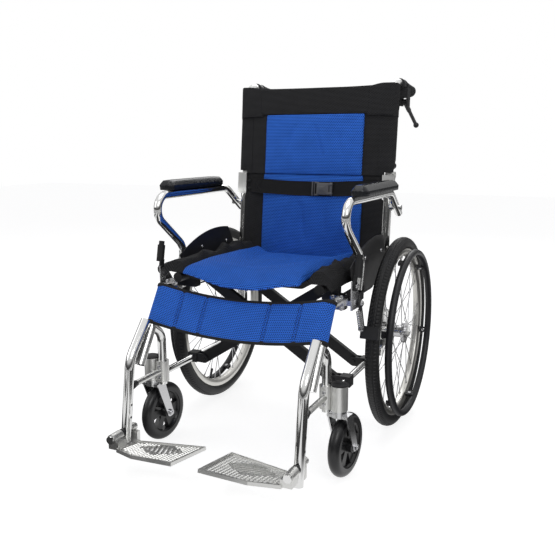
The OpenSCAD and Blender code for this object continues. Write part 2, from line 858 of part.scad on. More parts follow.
// Hinge block at the top of the lower post, with two ears and the hinge pin
module back_hinge(side) {
    pivot = on_back(frame_x, hinge_z, -hinge_back);
    color([0.76, 0.76, 0.77])
        on_side(side) {
            difference() {
                translate(on_back(frame_x, hinge_z, 0))
                    rotate([-recline, 0, 0])
                        union() {
                            block([0, -6, -32], [2 * hinge_half, 16 + 2 * 6, 60]);
                            for (f = [-1, 1])
                                block([f * (hinge_ear_x + hinge_ear_t / 2), 4, -11], [hinge_ear_t, 24, 18]);
                        }
                run(on_back(frame_x, hinge_z - 100, 0), on_back(frame_x, hinge_z - post_top_gap, 0),
                    post_r + fit);
                translate(on_back(frame_x, hinge_z, 0))
                    rotate([-recline, 0, 0])
                        block([0, 12, -7], [2 * hinge_ear_x, 24, 22]);
            }
            for (f = [-1, 1])
                cross_rod(pivot + [f * (hinge_ear_x + hinge_ear_t / 2), 0, 0], 9, hinge_ear_t - weld_step);
            cross_rod(pivot, 4, 2 * hinge_half + 2);
        }
}

// Spring plunger that frees the back: a knob pulled straight back out of the post
module back_release(side) {
    z = hinge_z + 26;
    color([0.1, 0.1, 0.1])
        on_side(side) {
            run(on_back(frame_x, z, -1), on_back(frame_x, z, -sleeve_r - 6), 4);
            run(on_back(frame_x, z, -sleeve_r - 5), on_back(frame_x, z, -sleeve_r - 22), 9);
        }
}

module grip(side) {
    end = handle_corner + handle_len * handle_dir;
    start = end - (grip_len - 4) * handle_dir;
    color([0.1, 0.1, 0.1])
        on_side(side)
            difference() {
                union() {
                    run(start, end + 4 * handle_dir, grip_d / 2);
                    for (s = [0, 0.33, 0.66])
                        run(start + s * grip_len * handle_dir, start + (s * grip_len + 5) * handle_dir,
                            grip_d / 2 + 1.5);
                }
                run(start - handle_dir, end, tube_r + fit);
            }
}

// Clamp of the hand brake lever on the push handle
module lever_bracket(side) {
    start = handle_corner + clamp_start * handle_dir;
    stop = start + clamp_len * handle_dir;
    grip_start = handle_corner + (handle_len - grip_len + 4 - clear) * handle_dir;
    body_h = 30;
    color([0.1, 0.1, 0.12])
        on_side(side) {
            difference() {
                union() {
                    run(start, stop, tube_r + 4);
                    block([lever_pivot.x - 3, bracket_mid.y + 4, bracket_low + body_h / 2],
                          [2 * lever_cheek + 6, 30, body_h]);
                    block(lever_pivot, [2 * lever_cheek, 26, 22]);
                }
                run(start - clamp_len * handle_dir, stop + clamp_len * handle_dir, tube_r + fit);
                run(grip_start, stop + clamp_len * handle_dir, grip_d / 2 + 1.5 + clear);
                block(lever_pivot + [0, 8, -6], [lever_slot, 62, 34]);
            }
            cross_rod(lever_pivot, 3, 2 * lever_cheek);
        }
}

module brake_lever(side) {
    blade = lever_slot - 2 * clear;
    color([0.1, 0.1, 0.1])
        on_side(side)
            difference() {
                union() {
                    cross_rod(lever_pivot, 8, blade);
                    run(lever_pivot, lever_tip, 5);
                    run(lever_pivot, lever_pivot + 0.35 * (lever_tip - lever_pivot), blade / 2 - 0.3);
                    translate(lever_tip)
                        sphere(r = 8);
                }
                cross_rod(lever_pivot, 3 + fit, 100);
            }
}

// Parking brake: base on the rail, hand lever, and the arm with the shoe

module park_base(side) {
    color([0.7, 0.7, 0.72])
        on_side(side) {
            difference() {
                union() {
                    block([frame_x + 2, park_pivot.y, rail_z], [tube_d + 12, 24, tube_d + 10]);
                    block([(frame_x + tube_r + park_x) / 2, park_pivot.y, rail_z],
                          [park_x - frame_x - tube_r, 16, 12]);
                }
                long_rod([frame_x, park_pivot.y, rail_z], tube_r + fit, 60);
            }
            side_plate(park_x - 3, 3)
                polygon([[park_pivot.y - 12, rail_z - 16], [park_pivot.y - 12, park_pivot.z + 10],
                         [park_pivot.y + 10, park_pivot.z + 10], [shoe_pivot.y + 11, shoe_pivot.z + 10],
                         [shoe_pivot.y + 11, shoe_pivot.z - 10]]);
            run(park_pivot - [2, 0, 0], park_pivot + [9, 0, 0], 4);
            run(shoe_pivot - [2, 0, 0], shoe_pivot + [9, 0, 0], 4);
        }
}

module park_lever(side) {
    up = [0, sin(12), cos(12)];
    grip = park_pivot + [8, 0, 0];
    color([0.1, 0.1, 0.11])
        on_side(side)
            difference() {
                union() {
                    run(park_pivot + [clear, 0, 0], park_pivot + [5, 0, 0], 12);
                    side_plate(park_x + clear, 4.6)
                        translate([park_pivot.y, park_pivot.z])
                            rotate(-12)
                                translate([-8, 0])
                                    square([16, 24]);
                    run(grip + 18 * up, grip + (park_len - 10) * up, 9.5);
                    run(grip + (park_len - 11) * up, grip + park_len * up, 7);
                }
                cross_rod(park_pivot, 4 + fit, 60);
            }
}

module park_shoe(side) {
    reach = wheel_d / 2 + shoe_gap + shoe_t / 2;
    shoe = [wheel_x, -reach * cos(shoe_angle), axle_z + reach * sin(shoe_angle)];
    pin = [shoe_pivot.y, shoe_pivot.z];
    foot = [shoe.y, shoe.z];
    knee = foot + [-12, 14];
    color([0.12, 0.12, 0.13])
        on_side(side)
            difference() {
                union() {
                    run(shoe_pivot + [clear, 0, 0], shoe_pivot + [5, 0, 0], 11);
                    side_plate(park_x + clear + 0.3, 4)
                        polygon([pin + [-7, -2], pin + [7, 2], knee + [6, 4],
                                 foot + [5, 8], foot + [-4, 5], knee + [-6, -3]]);
                    translate(shoe)
                        rotate([-shoe_angle, 0, 0])
                            block([0, 0, 0], [shoe_w, shoe_t, 30]);
                }
                cross_rod(shoe_pivot, 4 + fit, 60);
            }
}

// Cable of the hand brake: from the lever, down behind the post, under the rail to the parking brake
module brake_cable(side) {
    behind = -sleeve_r - 6;
    under = rail_z - tube_r - 5;
    route = [
        [lever_pivot.x - 14.5, bracket_mid.y, bracket_low - 0.2],
        [lever_pivot.x - 14.5, bracket_mid.y - 6, bracket_low - 26],
        on_back(frame_x, hinge_z + 130, behind - 8),
        on_back(frame_x - 6, hinge_z + 90, behind),
        on_back(frame_x - 20, hinge_z + 30, behind),
        on_back(frame_x - 20, hinge_z - 30, behind),
        on_back(frame_x - 12, hinge_z - 110, behind),
        on_back(frame_x - 16, rail_z + 70, behind),
        on_back(frame_x - 17, rail_z + 18, 2),
        [frame_x - 15, -20, under + 2],
        [frame_x - 2, -70, under],
        [frame_x, -170, under],
        [frame_x + 10, -230, under - 2],
        [park_x - 6, shoe_pivot.y + 30, shoe_pivot.z - 8],
        [park_x - 4, shoe_pivot.y + 11.3, shoe_pivot.z - 6]];
    color([0.55, 0.55, 0.56])
        on_side(side)
            cord(curve(route, 5), 2.4, 6);
}

// Folding cross

// One arm of the cross: two bars, the seat rail they carry, and on the left arm the middle pins
module brace(side, dy, pins) {
    mid_z = (low_z + seat_rail_z) / 2;
    color([0.1, 0.1, 0.1])
        on_side(side) {
            for (y = brace_sets)
                difference() {
                    union() {
                        translate([brace_x, y + dy, low_z])
                            rotate([0, brace_tilt, 0])
                                block([-brace_len / 2, 0, 0], [brace_len, bar_t, bar_w]);
                        long_rod([brace_x, y + dy, low_z], bar_w / 2, bar_t);
                    }
                    long_rod([brace_x, y + dy, low_z], pin_r + fit, 100);
                    if (!pins)
                        long_rod([0, y + dy, mid_z], pin_r + fit, 100);
                    long_rod([-brace_x, y + dy, seat_rail_z], seat_rail_r - 1, 100);
                }
            run([-brace_x, -seat_front + 2, seat_rail_z], [-brace_x, seat_rail_back, seat_rail_z],
                seat_rail_r);
            if (pins)
                for (y = brace_sets) {
                    long_rod([0, y, mid_z], pin_r, 2 * (brace_dy + bar_t / 2) + 6);
                    long_rod([0, y + brace_dy + bar_t / 2 + 4, mid_z], pin_r + 4, 5);
                }
        }
}

// Seat

// Height of the sling's upper face across the seat
function sling_top(x, y) = let (a = abs(x), rail_top = seat_rail_z + seat_rail_r)
    rail_top + 4 - sling_sag(y) * (1 - smooth((a - 10) / (brace_x - 30)))
    + wing_h * smooth((a - cushion_half - 4) / 22) * (1 - 0.75 * smooth((a - brace_x - 4) / 30));
function sling_low(x, y) = let (a = abs(x), rail_top = seat_rail_z + seat_rail_r)
    min(rail_top + clear - 11 * smooth((brace_x - seat_rail_r - 3 - a) / 26)
        - 15 * smooth((a - brace_x - seat_rail_r - 3) / 14), sling_top(x, y) - cloth);
// The sling sags more at the back than at the front
function sling_sag(y) = 12 + 16 * smooth((y + seat_front) / seat_front);

module seat_sling() {
    half = brace_x + seat_rail_r + 16;
    edge = function(u) half * (2 * u - 1);
    deep = function(v) -seat_front + (seat_front + seat_rail_back) * v;
    hem = function(u, v) 2 * pow(2 * v - 1, 8) * (1 - smooth((abs(edge(u)) - brace_x + 50) / 25));
    color([0.1, 0.1, 0.11])
        on_side(1)
            slab(40, 8,
                 function(u, v) [edge(u), deep(v), sling_top(edge(u), deep(v)) - hem(u, v)],
                 function(u, v) [edge(u), deep(v), sling_low(edge(u), deep(v)) - hem(u, v)]);
}

// Cushion with a crown, drawn-in sides and a front edge that rolls down over the sling
module seat_cushion() {
    roll_r = 18;
    flat = seat_front + 2;
    total = flat + roll_r * 80 * PI / 180;
    lift = function(s, t, x)
        let (turn = max(0, s - flat) / roll_r * 180 / PI,
             y = 2 - min(s, flat),
             base = sling_top(x, y) + clear)
            [x, y - (roll_r + t) * sin(turn), base - roll_r + (roll_r + t) * cos(turn)];
    side_in = function(u) pow(max(0, 1 - pow(abs(2 * u - 1), 6)), 0.5);
    end_in = function(v) pow(max(0, 1 - pow(abs(2 * v - 1), 14)), 0.5);
    across = function(u) cushion_half * (2 * u - 1);
    fill = function(u, v) 3 + (cushion_t - 3) * side_in(u) * end_in(v);
    color([0.15, 0.3, 0.7])
        on_side(1)
            slab(26, 22,
                 function(u, v) lift(total * (1 - v), fill(u, v), across(u)),
                 function(u, v) lift(total * (1 - v), 0, across(u)));
}

// Back upholstery

// Draws an outline seen along the back posts, from height z over a length, with y forward of the post
module along_back(z, length) {
    translate([0, post_y(z), z])
        rotate([-recline, 0, 0])
            linear_extrude(height = length)
                children();
}

// Sheet in front of the two back posts
module back_sheet(extra) {
    translate([-frame_x, -sleeve_r - extra])
        square([2 * frame_x, cloth + extra - 0.3]);
}

// Sleeves round the two back posts
module back_sleeves() {
    for (s = [-1, 1])
        translate([s * frame_x, 0])
            difference() {
                circle(r = sleeve_r);
                circle(r = tube_r + 0.3);
            }
}

module back_upper() {
    low = hinge_z + 5;
    sleeve_len = handle_z - handle_bend - 8 - low;
    sheet_len = handle_z - 13 - low;
    band = 72;
    knob_z = hinge_z + 26;
    color([0.1, 0.1, 0.11])
        on_side(1)
            difference() {
                union() {
                    along_back(low, sleeve_len)
                        back_sleeves();
                    along_back(low, sheet_len)
                        back_sheet(0);
                    along_back(low + sheet_len - band, band)
                        back_sheet(1.5);
                }
                for (s = [-1, 1]) {
                    block([s * frame_x, post_y(knob_z) + sleeve_r, knob_z - 8], [40, sleeve_r, 50]);
                    block([s * frame_x, post_y(hinge_z) + 2 + sleeve_r, hinge_z + 4], [30, 2 * sleeve_r, 26]);
                }
            }
}

// Sheet of the lower back between the posts, drawn in beside the hinge blocks
module back_lower() {
    low = seat_rail_z + 2;
    neck = hinge_z - 66;
    edge = frame_x - sqrt(post_r * post_r - low_off * low_off) - 0.3;
    neck_edge = frame_x - hinge_half - 0.3;
    color([0.1, 0.1, 0.11])
        on_side(1) {
            along_back(low, neck - low)
                translate([-edge, -low_off - cloth])
                    square([2 * edge, cloth]);
            along_back(neck - 1, hinge_z + 4 - neck)
                translate([-neck_edge, -low_off - cloth])
                    square([2 * neck_edge, cloth]);
        }
}

// Padded panel between heights z0 and z1, lying off in front of the post axis
module back_pad(half, z0, z1, off) {
    bulge = function(t) pow(max(0, 1 - pow(abs(2 * t - 1), 6)), 0.5);
    across = function(u) half * (2 * u - 1);
    up = function(v) z0 + (z1 - z0) * v;
    color([0.15, 0.3, 0.7])
        on_side(1)
            slab(16, 12,
                 function(u, v) on_back(across(u), up(v), off + 2 + (pad_t - 2) * bulge(u) * bulge(v)),
                 function(u, v) on_back(across(u), up(v), off));
}

module back_pad_upper() {
    back_pad(pad_half, hinge_z + 5, handle_z - handle_bend - 43, sleeve_r + 0.3);
}

module back_pad_lower() {
    back_pad(pad_half + 4, seat_rail_z + 12, hinge_z - 2, low_off + cloth + 0.3);
}

// Lap belt across the lower panel, screwed to the sheet at both ends, with its buckle
module lap_belt() {
    z = hinge_z - 36;
    belt_h = 40;
    half = frame_x - hinge_half - 1;
    buckle_x = 38;
    flat_off = low_off + cloth + 0.3;
    rise = pad_t + 1;
    off = function(x) flat_off + rise * smooth((half - 3 - abs(x)) / 46);
    across = function(u) half * (2 * u - 1);
    height = function(u, v) z - 8 * (1 - pow(2 * u - 1, 2)) + belt_h * (v - 0.5);
    color([0.12, 0.12, 0.12])
        on_side(1) {
            slab(32, 2,
                 function(u, v) on_back(across(u), height(u, v), off(across(u)) + 2.4),
                 function(u, v) on_back(across(u), height(u, v), off(across(u))));
            translate(on_back(buckle_x, z - 8, flat_off + rise + 2.4 + 5.2))
                rotate([-recline, 0, 0])
                    block([0, 0, 0], [60, 10, 38]);
        }
}

// Calf strap in front of the front posts, sagging between them and closed round their outer sides
module calf_strap() {
    out = [0, front_dir.z, -front_dir.y];
    start = -8;
    strap_h = 94;
    sag = 18;
    half = frame_x + 18;
    wrap = 0.2;
    along = function(u) u < wrap ? -half + (half - frame_x) * u / wrap
        : u > 1 - wrap ? half - (half - frame_x) * (1 - u) / wrap
        : frame_x * (2 * (u - wrap) / (1 - 2 * wrap) - 1);
    bow = function(u) max(0, 1 - pow(along(u) / frame_x, 2));
    lay = function(u, v, t)
        let (s = along(u),
             turn = max(0, abs(s) - frame_x) / (tube_r + 1) * 180 / PI,
             r = tube_r + clear + t)
            [sign(s) * (min(abs(s), frame_x) + r * sin(turn)), front_corner.y, front_corner.z]
            + front_dir * (start + strap_h * v + sag * bow(u)) + out * (r * cos(turn) - 14 * bow(u));
    color([0.15, 0.3, 0.7])
        on_side(1)
            slab(40, 6,
                 function(u, v) lay(u, 1 - v, 3),
                 function(u, v) lay(u, 1 - v, 0));
}

brace(1, -brace_dy, true);  // brace_left
brace(-1, brace_dy, false);  // brace_right
seat_sling();
seat_cushion();
back_upper();
back_pad_upper();
back_lower();
back_pad_lower();
lap_belt();
calf_strap();
frame(1);  // left_frame
frame(-1);  // right_frame
fittings(1, -brace_dy);  // left_fittings
fittings(-1, brace_dy);  // right_fittings
caster_housing(1);  // left_caster_housing
caster_housing(-1);  // right_caster_housing
caster_fork(1);  // left_caster_fork
caster_fork(-1);  // right_caster_fork
caster_wheel(1);  // left_caster_wheel
caster_wheel(-1);  // right_caster_wheel
tyre(1);  // left_tyre
tyre(-1);  // right_tyre
rim(1);  // left_rim
rim(-1);  // right_rim
spokes(1);  // left_spokes
spokes(-1);  // right_spokes
hub(1);  // left_hub
hub(-1);  // right_hub
handrim(1);  // left_handrim
handrim(-1);  // right_handrim
arm_tube(1);  // left_arm_tube
arm_tube(-1);  // right_arm_tube
arm_pad(1);  // left_arm_pad
arm_pad(-1);  // right_arm_pad
skirt_guard(1);  // left_skirt_guard
skirt_guard(-1);  // right_skirt_guard
leg_tube(1);  // left_leg_tube
leg_tube(-1);  // right_leg_tube
footplate(1);  // left_footplate
footplate(-1);  // right_footplate
back_post(1);  // left_back_post
back_post(-1);  // right_back_post
grip(1);  // left_grip
grip(-1);  // right_grip
lever_bracket(1);  // left_lever_bracket
lever_bracket(-1);  // right_lever_bracket
brake_lever(1);  // left_brake_lever
brake_lever(-1);  // right_brake_lever
back_hinge(1);  // left_back_hinge
back_hinge(-1);  // right_back_hinge
back_release(1);  // left_back_release
back_release(-1);  // right_back_release
park_base(1);  // left_park_base
park_base(-1);  // right_park_base
park_lever(1);  // left_park_lever
park_lever(-1);  // right_park_lever
park_shoe(1);  // left_park_shoe
park_shoe(-1);  // right_park_shoe
brake_cable(1);  // left_brake_cable
brake_cable(-1);  // right_brake_cable
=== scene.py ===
# %% [markdown]
# # A folding wheelchair, dressed in Blender
# The tubes, wheels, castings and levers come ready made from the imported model, which is the fixed
# frame of this lesson. Blender adds what a solid modeller is poor at: stretched and padded cloth,
# tyre tread, stitching, fasteners and finishes. Every length is in metres, +Z is up, the chair
# faces -Y, and +X is the sitter's left.

# %% Load the frame
import json

import bpy
import numpy as np
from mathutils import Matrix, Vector


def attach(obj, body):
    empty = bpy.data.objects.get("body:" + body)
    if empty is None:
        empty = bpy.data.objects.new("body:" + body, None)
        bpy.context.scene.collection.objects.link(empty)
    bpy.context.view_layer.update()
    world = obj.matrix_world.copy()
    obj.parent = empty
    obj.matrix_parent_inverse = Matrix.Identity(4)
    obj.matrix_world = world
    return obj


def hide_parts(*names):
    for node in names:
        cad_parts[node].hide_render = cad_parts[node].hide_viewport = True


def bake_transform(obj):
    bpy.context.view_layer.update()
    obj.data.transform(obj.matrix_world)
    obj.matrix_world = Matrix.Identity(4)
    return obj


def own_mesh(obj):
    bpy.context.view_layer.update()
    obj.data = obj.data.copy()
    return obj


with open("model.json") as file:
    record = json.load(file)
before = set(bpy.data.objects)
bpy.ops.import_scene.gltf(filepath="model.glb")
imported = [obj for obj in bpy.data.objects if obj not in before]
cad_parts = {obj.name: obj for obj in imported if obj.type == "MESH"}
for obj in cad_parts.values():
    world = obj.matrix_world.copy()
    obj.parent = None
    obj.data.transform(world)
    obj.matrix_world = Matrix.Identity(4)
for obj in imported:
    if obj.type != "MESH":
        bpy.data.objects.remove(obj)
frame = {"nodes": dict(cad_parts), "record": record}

scene = bpy.context.scene
nodes = frame["nodes"]
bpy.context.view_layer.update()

# %% [markdown]
# ## Camera
# The photograph was taken from the front, a little to the chair's left and from chest height. A
# camera could be aimed by eye, but this one was worked out from the wheels and tubes, so that the
# render can be laid over the photograph. It needs only a place, two angles and a lens.

# %% Camera
CAMERA_AT = (0.727, -1.595, 0.750)
CAMERA_TURN, CAMERA_DIP = np.radians(24.688), np.radians(10.985)
FRAME_PX, FOCAL_PX, SENSOR_MM = 555, 689.18, 36.0

camera_data = bpy.data.cameras.new("camera")
camera_data.sensor_width = SENSOR_MM
camera_data.lens = FOCAL_PX / FRAME_PX * SENSOR_MM
camera = bpy.data.objects.new("camera", camera_data)
camera.location = CAMERA_AT
camera.rotation_euler = (np.pi / 2 - CAMERA_DIP, 0, CAMERA_TURN)
scene.collection.objects.link(camera)
scene.camera = camera
scene.view_settings.view_transform = "Standard"
print("lens:", round(camera_data.lens, 1), "mm")

# %% [markdown]
# ## Lamps
# The chair stands in a white studio with large lamps, so its shadows are soft. Square area lamps do
# the same here: one leads from the front on the chair's left, one fills the other side, one lights
# the edges from behind and one hangs above.

# %% Soft lamps
# Name, place, what it faces, width and watts.
LAMPS = (
    ("key", (2.2, -2.6, 2.6), (0, 0, 0.4), 1.5, 34),
    ("fill", (-2.8, -1.6, 1.8), (0, 0, 0.4), 1.6, 16),
    ("back", (-0.6, 2.8, 2.4), (0, 0, 0.6), 1.6, 22),
    ("top", (0.2, -0.2, 3.2), (0, 0, 0), 2.0, 26),
)
for name, at, aim, size, watts in LAMPS:
    light = bpy.data.lights.new(name, "AREA")
    light.size, light.energy = size, watts
    lamp = bpy.data.objects.new(name, light)
    lamp.location = at
    lamp.rotation_euler = (Vector(aim) - Vector(at)).to_track_quat("-Z", "Y").to_euler()
    scene.collection.objects.link(lamp)
print("lamps:", len(LAMPS))

# %% [markdown]
# ## What the tubes mirror
# Polished tube has hardly a colour of its own: it shows the room. A photograph of a room could be
# wrapped round the scene, but a ramp of greys by height is enough: a dark band at the horizon with
# pale walls above. Only mirror-like rays see it. The camera sees plain white, and soft light is grey.

# %% Studio world
FLOOR_GREY, SOFT_GREY = 0.45, (0.26, 0.26, 0.27, 1)
ROOM = ((0.46, 0.75), (0.51, 0.03), (0.58, 0.16), (0.66, 0.75), (0.80, 0.95))
world = bpy.data.worlds.new("studio")
world.use_nodes = True
scene.world = world
world.node_tree.nodes.clear()
add, link = world.node_tree.nodes.new, world.node_tree.links.new
ray, direction = add("ShaderNodeLightPath"), add("ShaderNodeTexCoord")
height, half_up = add("ShaderNodeSeparateXYZ"), add("ShaderNodeMapRange")
greys = add("ShaderNodeValToRGB")
room, white, soft = (add("ShaderNodeBackground") for _ in range(3))
by_gloss, by_camera = add("ShaderNodeMixShader"), add("ShaderNodeMixShader")
half_up.inputs["From Min"].default_value = -1
white.inputs["Color"].default_value = (1, 1, 1, 1)
soft.inputs["Color"].default_value = SOFT_GREY
greys.color_ramp.elements[0].color = (FLOOR_GREY, FLOOR_GREY, FLOOR_GREY, 1)
for stop, grey in ROOM:
    greys.color_ramp.elements.new(stop).color = (grey, grey, grey, 1)
link(direction.outputs["Generated"], height.inputs[0])
link(height.outputs["Z"], half_up.inputs["Value"])
link(half_up.outputs[0], greys.inputs[0])
link(greys.outputs[0], room.inputs["Color"])
link(ray.outputs["Is Glossy Ray"], by_gloss.inputs[0])
link(soft.outputs[0], by_gloss.inputs[1])
link(room.outputs[0], by_gloss.inputs[2])
link(ray.outputs["Is Camera Ray"], by_camera.inputs[0])
link(by_gloss.outputs[0], by_camera.inputs[1])
link(white.outputs[0], by_camera.inputs[2])
link(by_camera.outputs[0], add("ShaderNodeOutputWorld").inputs[0])
print("greys in the room:", len(greys.color_ramp.elements))

# %% [markdown]
# ## Surfaces from arrays
# A surface is a function of two numbers worked out over a whole grid at once with numpy. The grid's
# neighbours make the faces, so a sheet, a tube, a ring and a padded slab are all one idea with other
# edges joined. The same pieces could be modelled by hand, but a formula follows the frame exactly.

# %% Curves, grids and faces
MM = 0.001
SIDES = (("left", 1), ("right", -1))


def ease(t):
    """Smooth step: 0 below 0, 1 above 1, and 3t^2 - 2t^3 between."""
    c = np.clip(t, 0, 1)
    return c * c * (3 - 2 * c)


def bell(t):
    """Bell curve: 1 at 0, and e to the power of minus t squared on both sides."""
    return np.exp(-(t**2))


def dome(t, power):
    """Flat-topped arch over t from 0 to 1: the root of 1 - |2t - 1| to a power."""
    return np.sqrt(np.maximum(0, 1 - np.abs(2 * t - 1) ** power))


def unit(v):
    """Vectors shortened to length one."""
    v = np.asarray(v, float)
    return v / np.maximum(np.linalg.norm(v, axis=-1, keepdims=True), 1e-12)


def grid(rows, cols):
    """Two parameters from 0 to 1 over a grid."""
    return np.meshgrid(np.linspace(0, 1, rows), np.linspace(0, 1, cols), indexing="ij")


def around(count):
    """Angles evenly spaced round a circle."""
    return np.linspace(0, 2 * np.pi, count, endpoint=False)


def quads(rows, cols, loop_rows=False, loop_cols=False):
    """Corner numbers of the faces of a grid; a loop joins its last line to its first."""
    lines, places = np.arange(rows - (not loop_rows)), np.arange(cols - (not loop_cols))
    i, j = np.meshgrid(lines, places, indexing="ij")
    down, right = (i + 1) % rows, (j + 1) % cols
    corners = [i * cols + j, down * cols + j, down * cols + right, i * cols + right]
    return np.stack(corners, -1).reshape(-1, 4)


print("faces of a 3 by 4 grid:", len(quads(3, 4)))

# %% [markdown]
# ## Sheets and slabs
# A mesh is made from points and faces in one go. Cloth also gets a texture map in metres, so that
# its weave has one size on every piece. A slab is two sheets joined round their edge, which closes
# it; on its edge the map goes on by the slab's thickness, so that the weave turns the corner.

# %% Sheets and slabs
CRISP, CRISP_SLAB = 40, 60


def lay_map(mesh, uv):
    """Gives a mesh a texture map: uv holds two lengths in metres for each point."""
    corner = np.empty(len(mesh.loops), np.int32)
    mesh.loops.foreach_get("vertex_index", corner)
    flat = np.asarray(uv, np.float32).reshape(-1, 2)[corner]
    mesh.uv_layers.new(name="UVMap").data.foreach_set("uv", flat.ravel())


def make(name, points, faces, surface, uv=None, sharp=CRISP):
    """A mesh object from points and faces, shaded smooth up to an angle in degrees."""
    points = np.asarray(points, float).reshape(-1, 3)
    mesh = bpy.data.meshes.new(name)
    mesh.from_pydata(points.tolist(), [], [list(map(int, f)) for f in faces])
    mesh.polygons.foreach_set("use_smooth", np.ones(len(mesh.polygons), bool))
    if uv is not None:
        lay_map(mesh, uv)
    mesh.set_sharp_from_angle(angle=np.radians(sharp))
    mesh.materials.append(surface)
    made = bpy.data.objects.new(name, mesh)
    scene.collection.objects.link(made)
    return made


def slab(name, front, back, surface, uv=None, sharp=CRISP_SLAB):
    """A closed slab between two grids of one size: both grids, and faces round their common edge."""
    rows, cols = front.shape[:2]
    count = rows * cols
    number = np.arange(count).reshape(rows, cols)
    ring = np.concatenate([number[:, 0], number[-1, 1:], number[-2::-1, -1], number[0, -2:0:-1]])
    onward = np.roll(ring, -1)
    face = quads(rows, cols)
    rim = np.stack([onward, ring, ring + count, onward + count], -1)
    faces = np.concatenate([face, face[:, ::-1] + count, rim])
    points = np.concatenate([front.reshape(-1, 3), back.reshape(-1, 3)])
    if uv is not None:
        thick = np.linalg.norm(front - back, axis=-1).reshape(-1, 1)
        uv = np.concatenate([uv.reshape(-1, 2), uv.reshape(-1, 2) - thick])
    return make(name, points, faces, surface, uv, sharp)


print("edges stay crisp past", CRISP, "degrees, and past", CRISP_SLAB, "on a slab")

# %% [markdown]
# ## Swept and turned shapes
# Tape, wire and cable are an outline carried along a path. Rims and grips are a profile turned about
# an axis. Curves and the Screw modifier could give both, but with arrays the ends and the direction
# of every face are known.

# %% Swept and turned shapes
ASKEW = (0.31, 0.72, 0.61)


def sweep(name, path, up, section, surface):
    """A closed outline (across, up) carried along a path; up tells which way is up at each point."""
    path, section = np.asarray(path, float), np.asarray(section, float)
    ahead = unit(np.gradient(path, axis=0))
    side = unit(np.cross(ahead, np.broadcast_to(up, path.shape)))
    lift = np.cross(side, ahead)
    points = path[:, None] + section[None, :, :1] * side[:, None] + section[None, :, 1:] * lift[:, None]
    rows, cols = points.shape[:2]
    ends = [list(range(cols)), list(range(rows * cols - 1, (rows - 1) * cols - 1, -1))]
    return make(name, points, quads(rows, cols, False, True)[:, ::-1].tolist() + ends, surface)


def oval(across, tall, count=10):
    """The outline of an ellipse with those half widths."""
    turn = around(count)
    return np.stack([across * np.cos(turn), tall * np.sin(turn)], -1)


def spun(name, profile, at, axis, surface, count, closed=False):
    """A profile of (radius, distance along the axis) turned about an axis through a point."""
    profile, axis = np.asarray(profile, float), unit(axis)
    side = unit(np.cross(axis, ASKEW))
    turn = around(count)
    spoke = np.cos(turn)[:, None] * side + np.sin(turn)[:, None] * np.cross(axis, side)
    points = np.asarray(at) + profile[None, :, :1] * spoke[:, None] + profile[None, :, 1:] * axis
    cols = len(profile)
    faces = quads(count, cols, True, closed).tolist()
    if not closed:
        faces += [list(range(0, count * cols, cols)), list(range(count * cols - 1, 0, -cols))]
    return make(name, points, faces, surface)


print("points of a round outline:", len(oval(1, 1)))

# %% [markdown]
# ## Small things that repeat
# Stitches, bolts and tread pads are one little mesh set at many places by multiplying arrays, which
# is quicker than an object for each. The dressed pieces ride on a body of the frame.

# %% Copies and riding


def copies(name, shape, faces, places, ahead, up, surface, sharp=CRISP):
    """One small mesh set at many places; its x runs ahead and its z runs up."""
    places = np.atleast_2d(places)
    ahead = unit(np.broadcast_to(ahead, places.shape))
    side = unit(np.cross(np.broadcast_to(up, places.shape), ahead))
    base = np.stack([ahead, side, np.cross(ahead, side)], 1)
    points = places[:, None] + np.einsum("vk,nkc->nvc", shape, base)
    first = len(shape) * np.arange(len(places))
    every = [[corner + start for corner in face] for start in first for face in faces]
    return make(name, points, every, surface, sharp=sharp)


def spaced(path, pitch):
    """Points at an even pitch along a path, with the way ahead at each."""
    far = np.concatenate([[0], np.cumsum(np.linalg.norm(np.diff(path, axis=0), axis=1))])
    at = np.arange(pitch / 2, far[-1], pitch)
    point = np.stack([np.interp(at, far, path[:, k]) for k in range(3)], -1)
    onward = np.stack([np.interp(at + pitch / 4, far, path[:, k]) for k in range(3)], -1)
    return point, unit(onward - point)


def dress(piece, body, slot, *stands_for, fold=None):
    """Rides a piece on a body and hides the solids it stands for; with fold values the piece gets its own
    copy of its mesh. slot is not used.
    """
    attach(piece, body)
    if stands_for:
        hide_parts(*stands_for)
    if fold:
        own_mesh(piece)
    return piece


# %% [markdown]
# ## Finishes
# Each finish is one shader whose colour, roughness and relief vary a little, as real ones do. Cloth
# reads the texture map of its piece, which is in metres, so a weave has its true size. Metal, rubber
# and plastic read the object's own coordinates and need no map.

# %% Finish helpers


def finish(name, colour, rough, metal=0.0, **sockets):
    """A principled material with plain values on its sockets, and its node tools."""
    material = bpy.data.materials.new(name)
    material.use_nodes = True
    tree = material.node_tree
    shader = tree.nodes["Principled BSDF"]
    shader.inputs["Base Color"].default_value = (*colour, 1)
    shader.inputs["Roughness"].default_value = rough
    shader.inputs["Metallic"].default_value = metal
    for socket, value in sockets.items():
        shader.inputs[socket.replace("_", " ")].default_value = value
    return material, tree, shader


def texture(tree, kind, source, scale, **sockets):
    """A texture node fed with object or map coordinates at a scale."""
    place, size = tree.nodes.new("ShaderNodeTexCoord"), tree.nodes.new("ShaderNodeMapping")
    size.inputs["Scale"].default_value = (scale, scale, scale)
    made = tree.nodes.new(kind)
    for socket, value in sockets.items():
        made.inputs[socket.replace("_", " ")].default_value = value
    tree.links.new(place.outputs[source], size.inputs["Vector"])
    tree.links.new(size.outputs[0], made.inputs["Vector"])
    return made


FINISH = {}

# %% [markdown]
# ## Unevenness
# No real surface is one colour and one polish. Three short helpers lead a texture's value to where
# it is wanted: to a plain socket such as roughness, to a colour, or to a bump that tilts the light.

# %% Unevenness


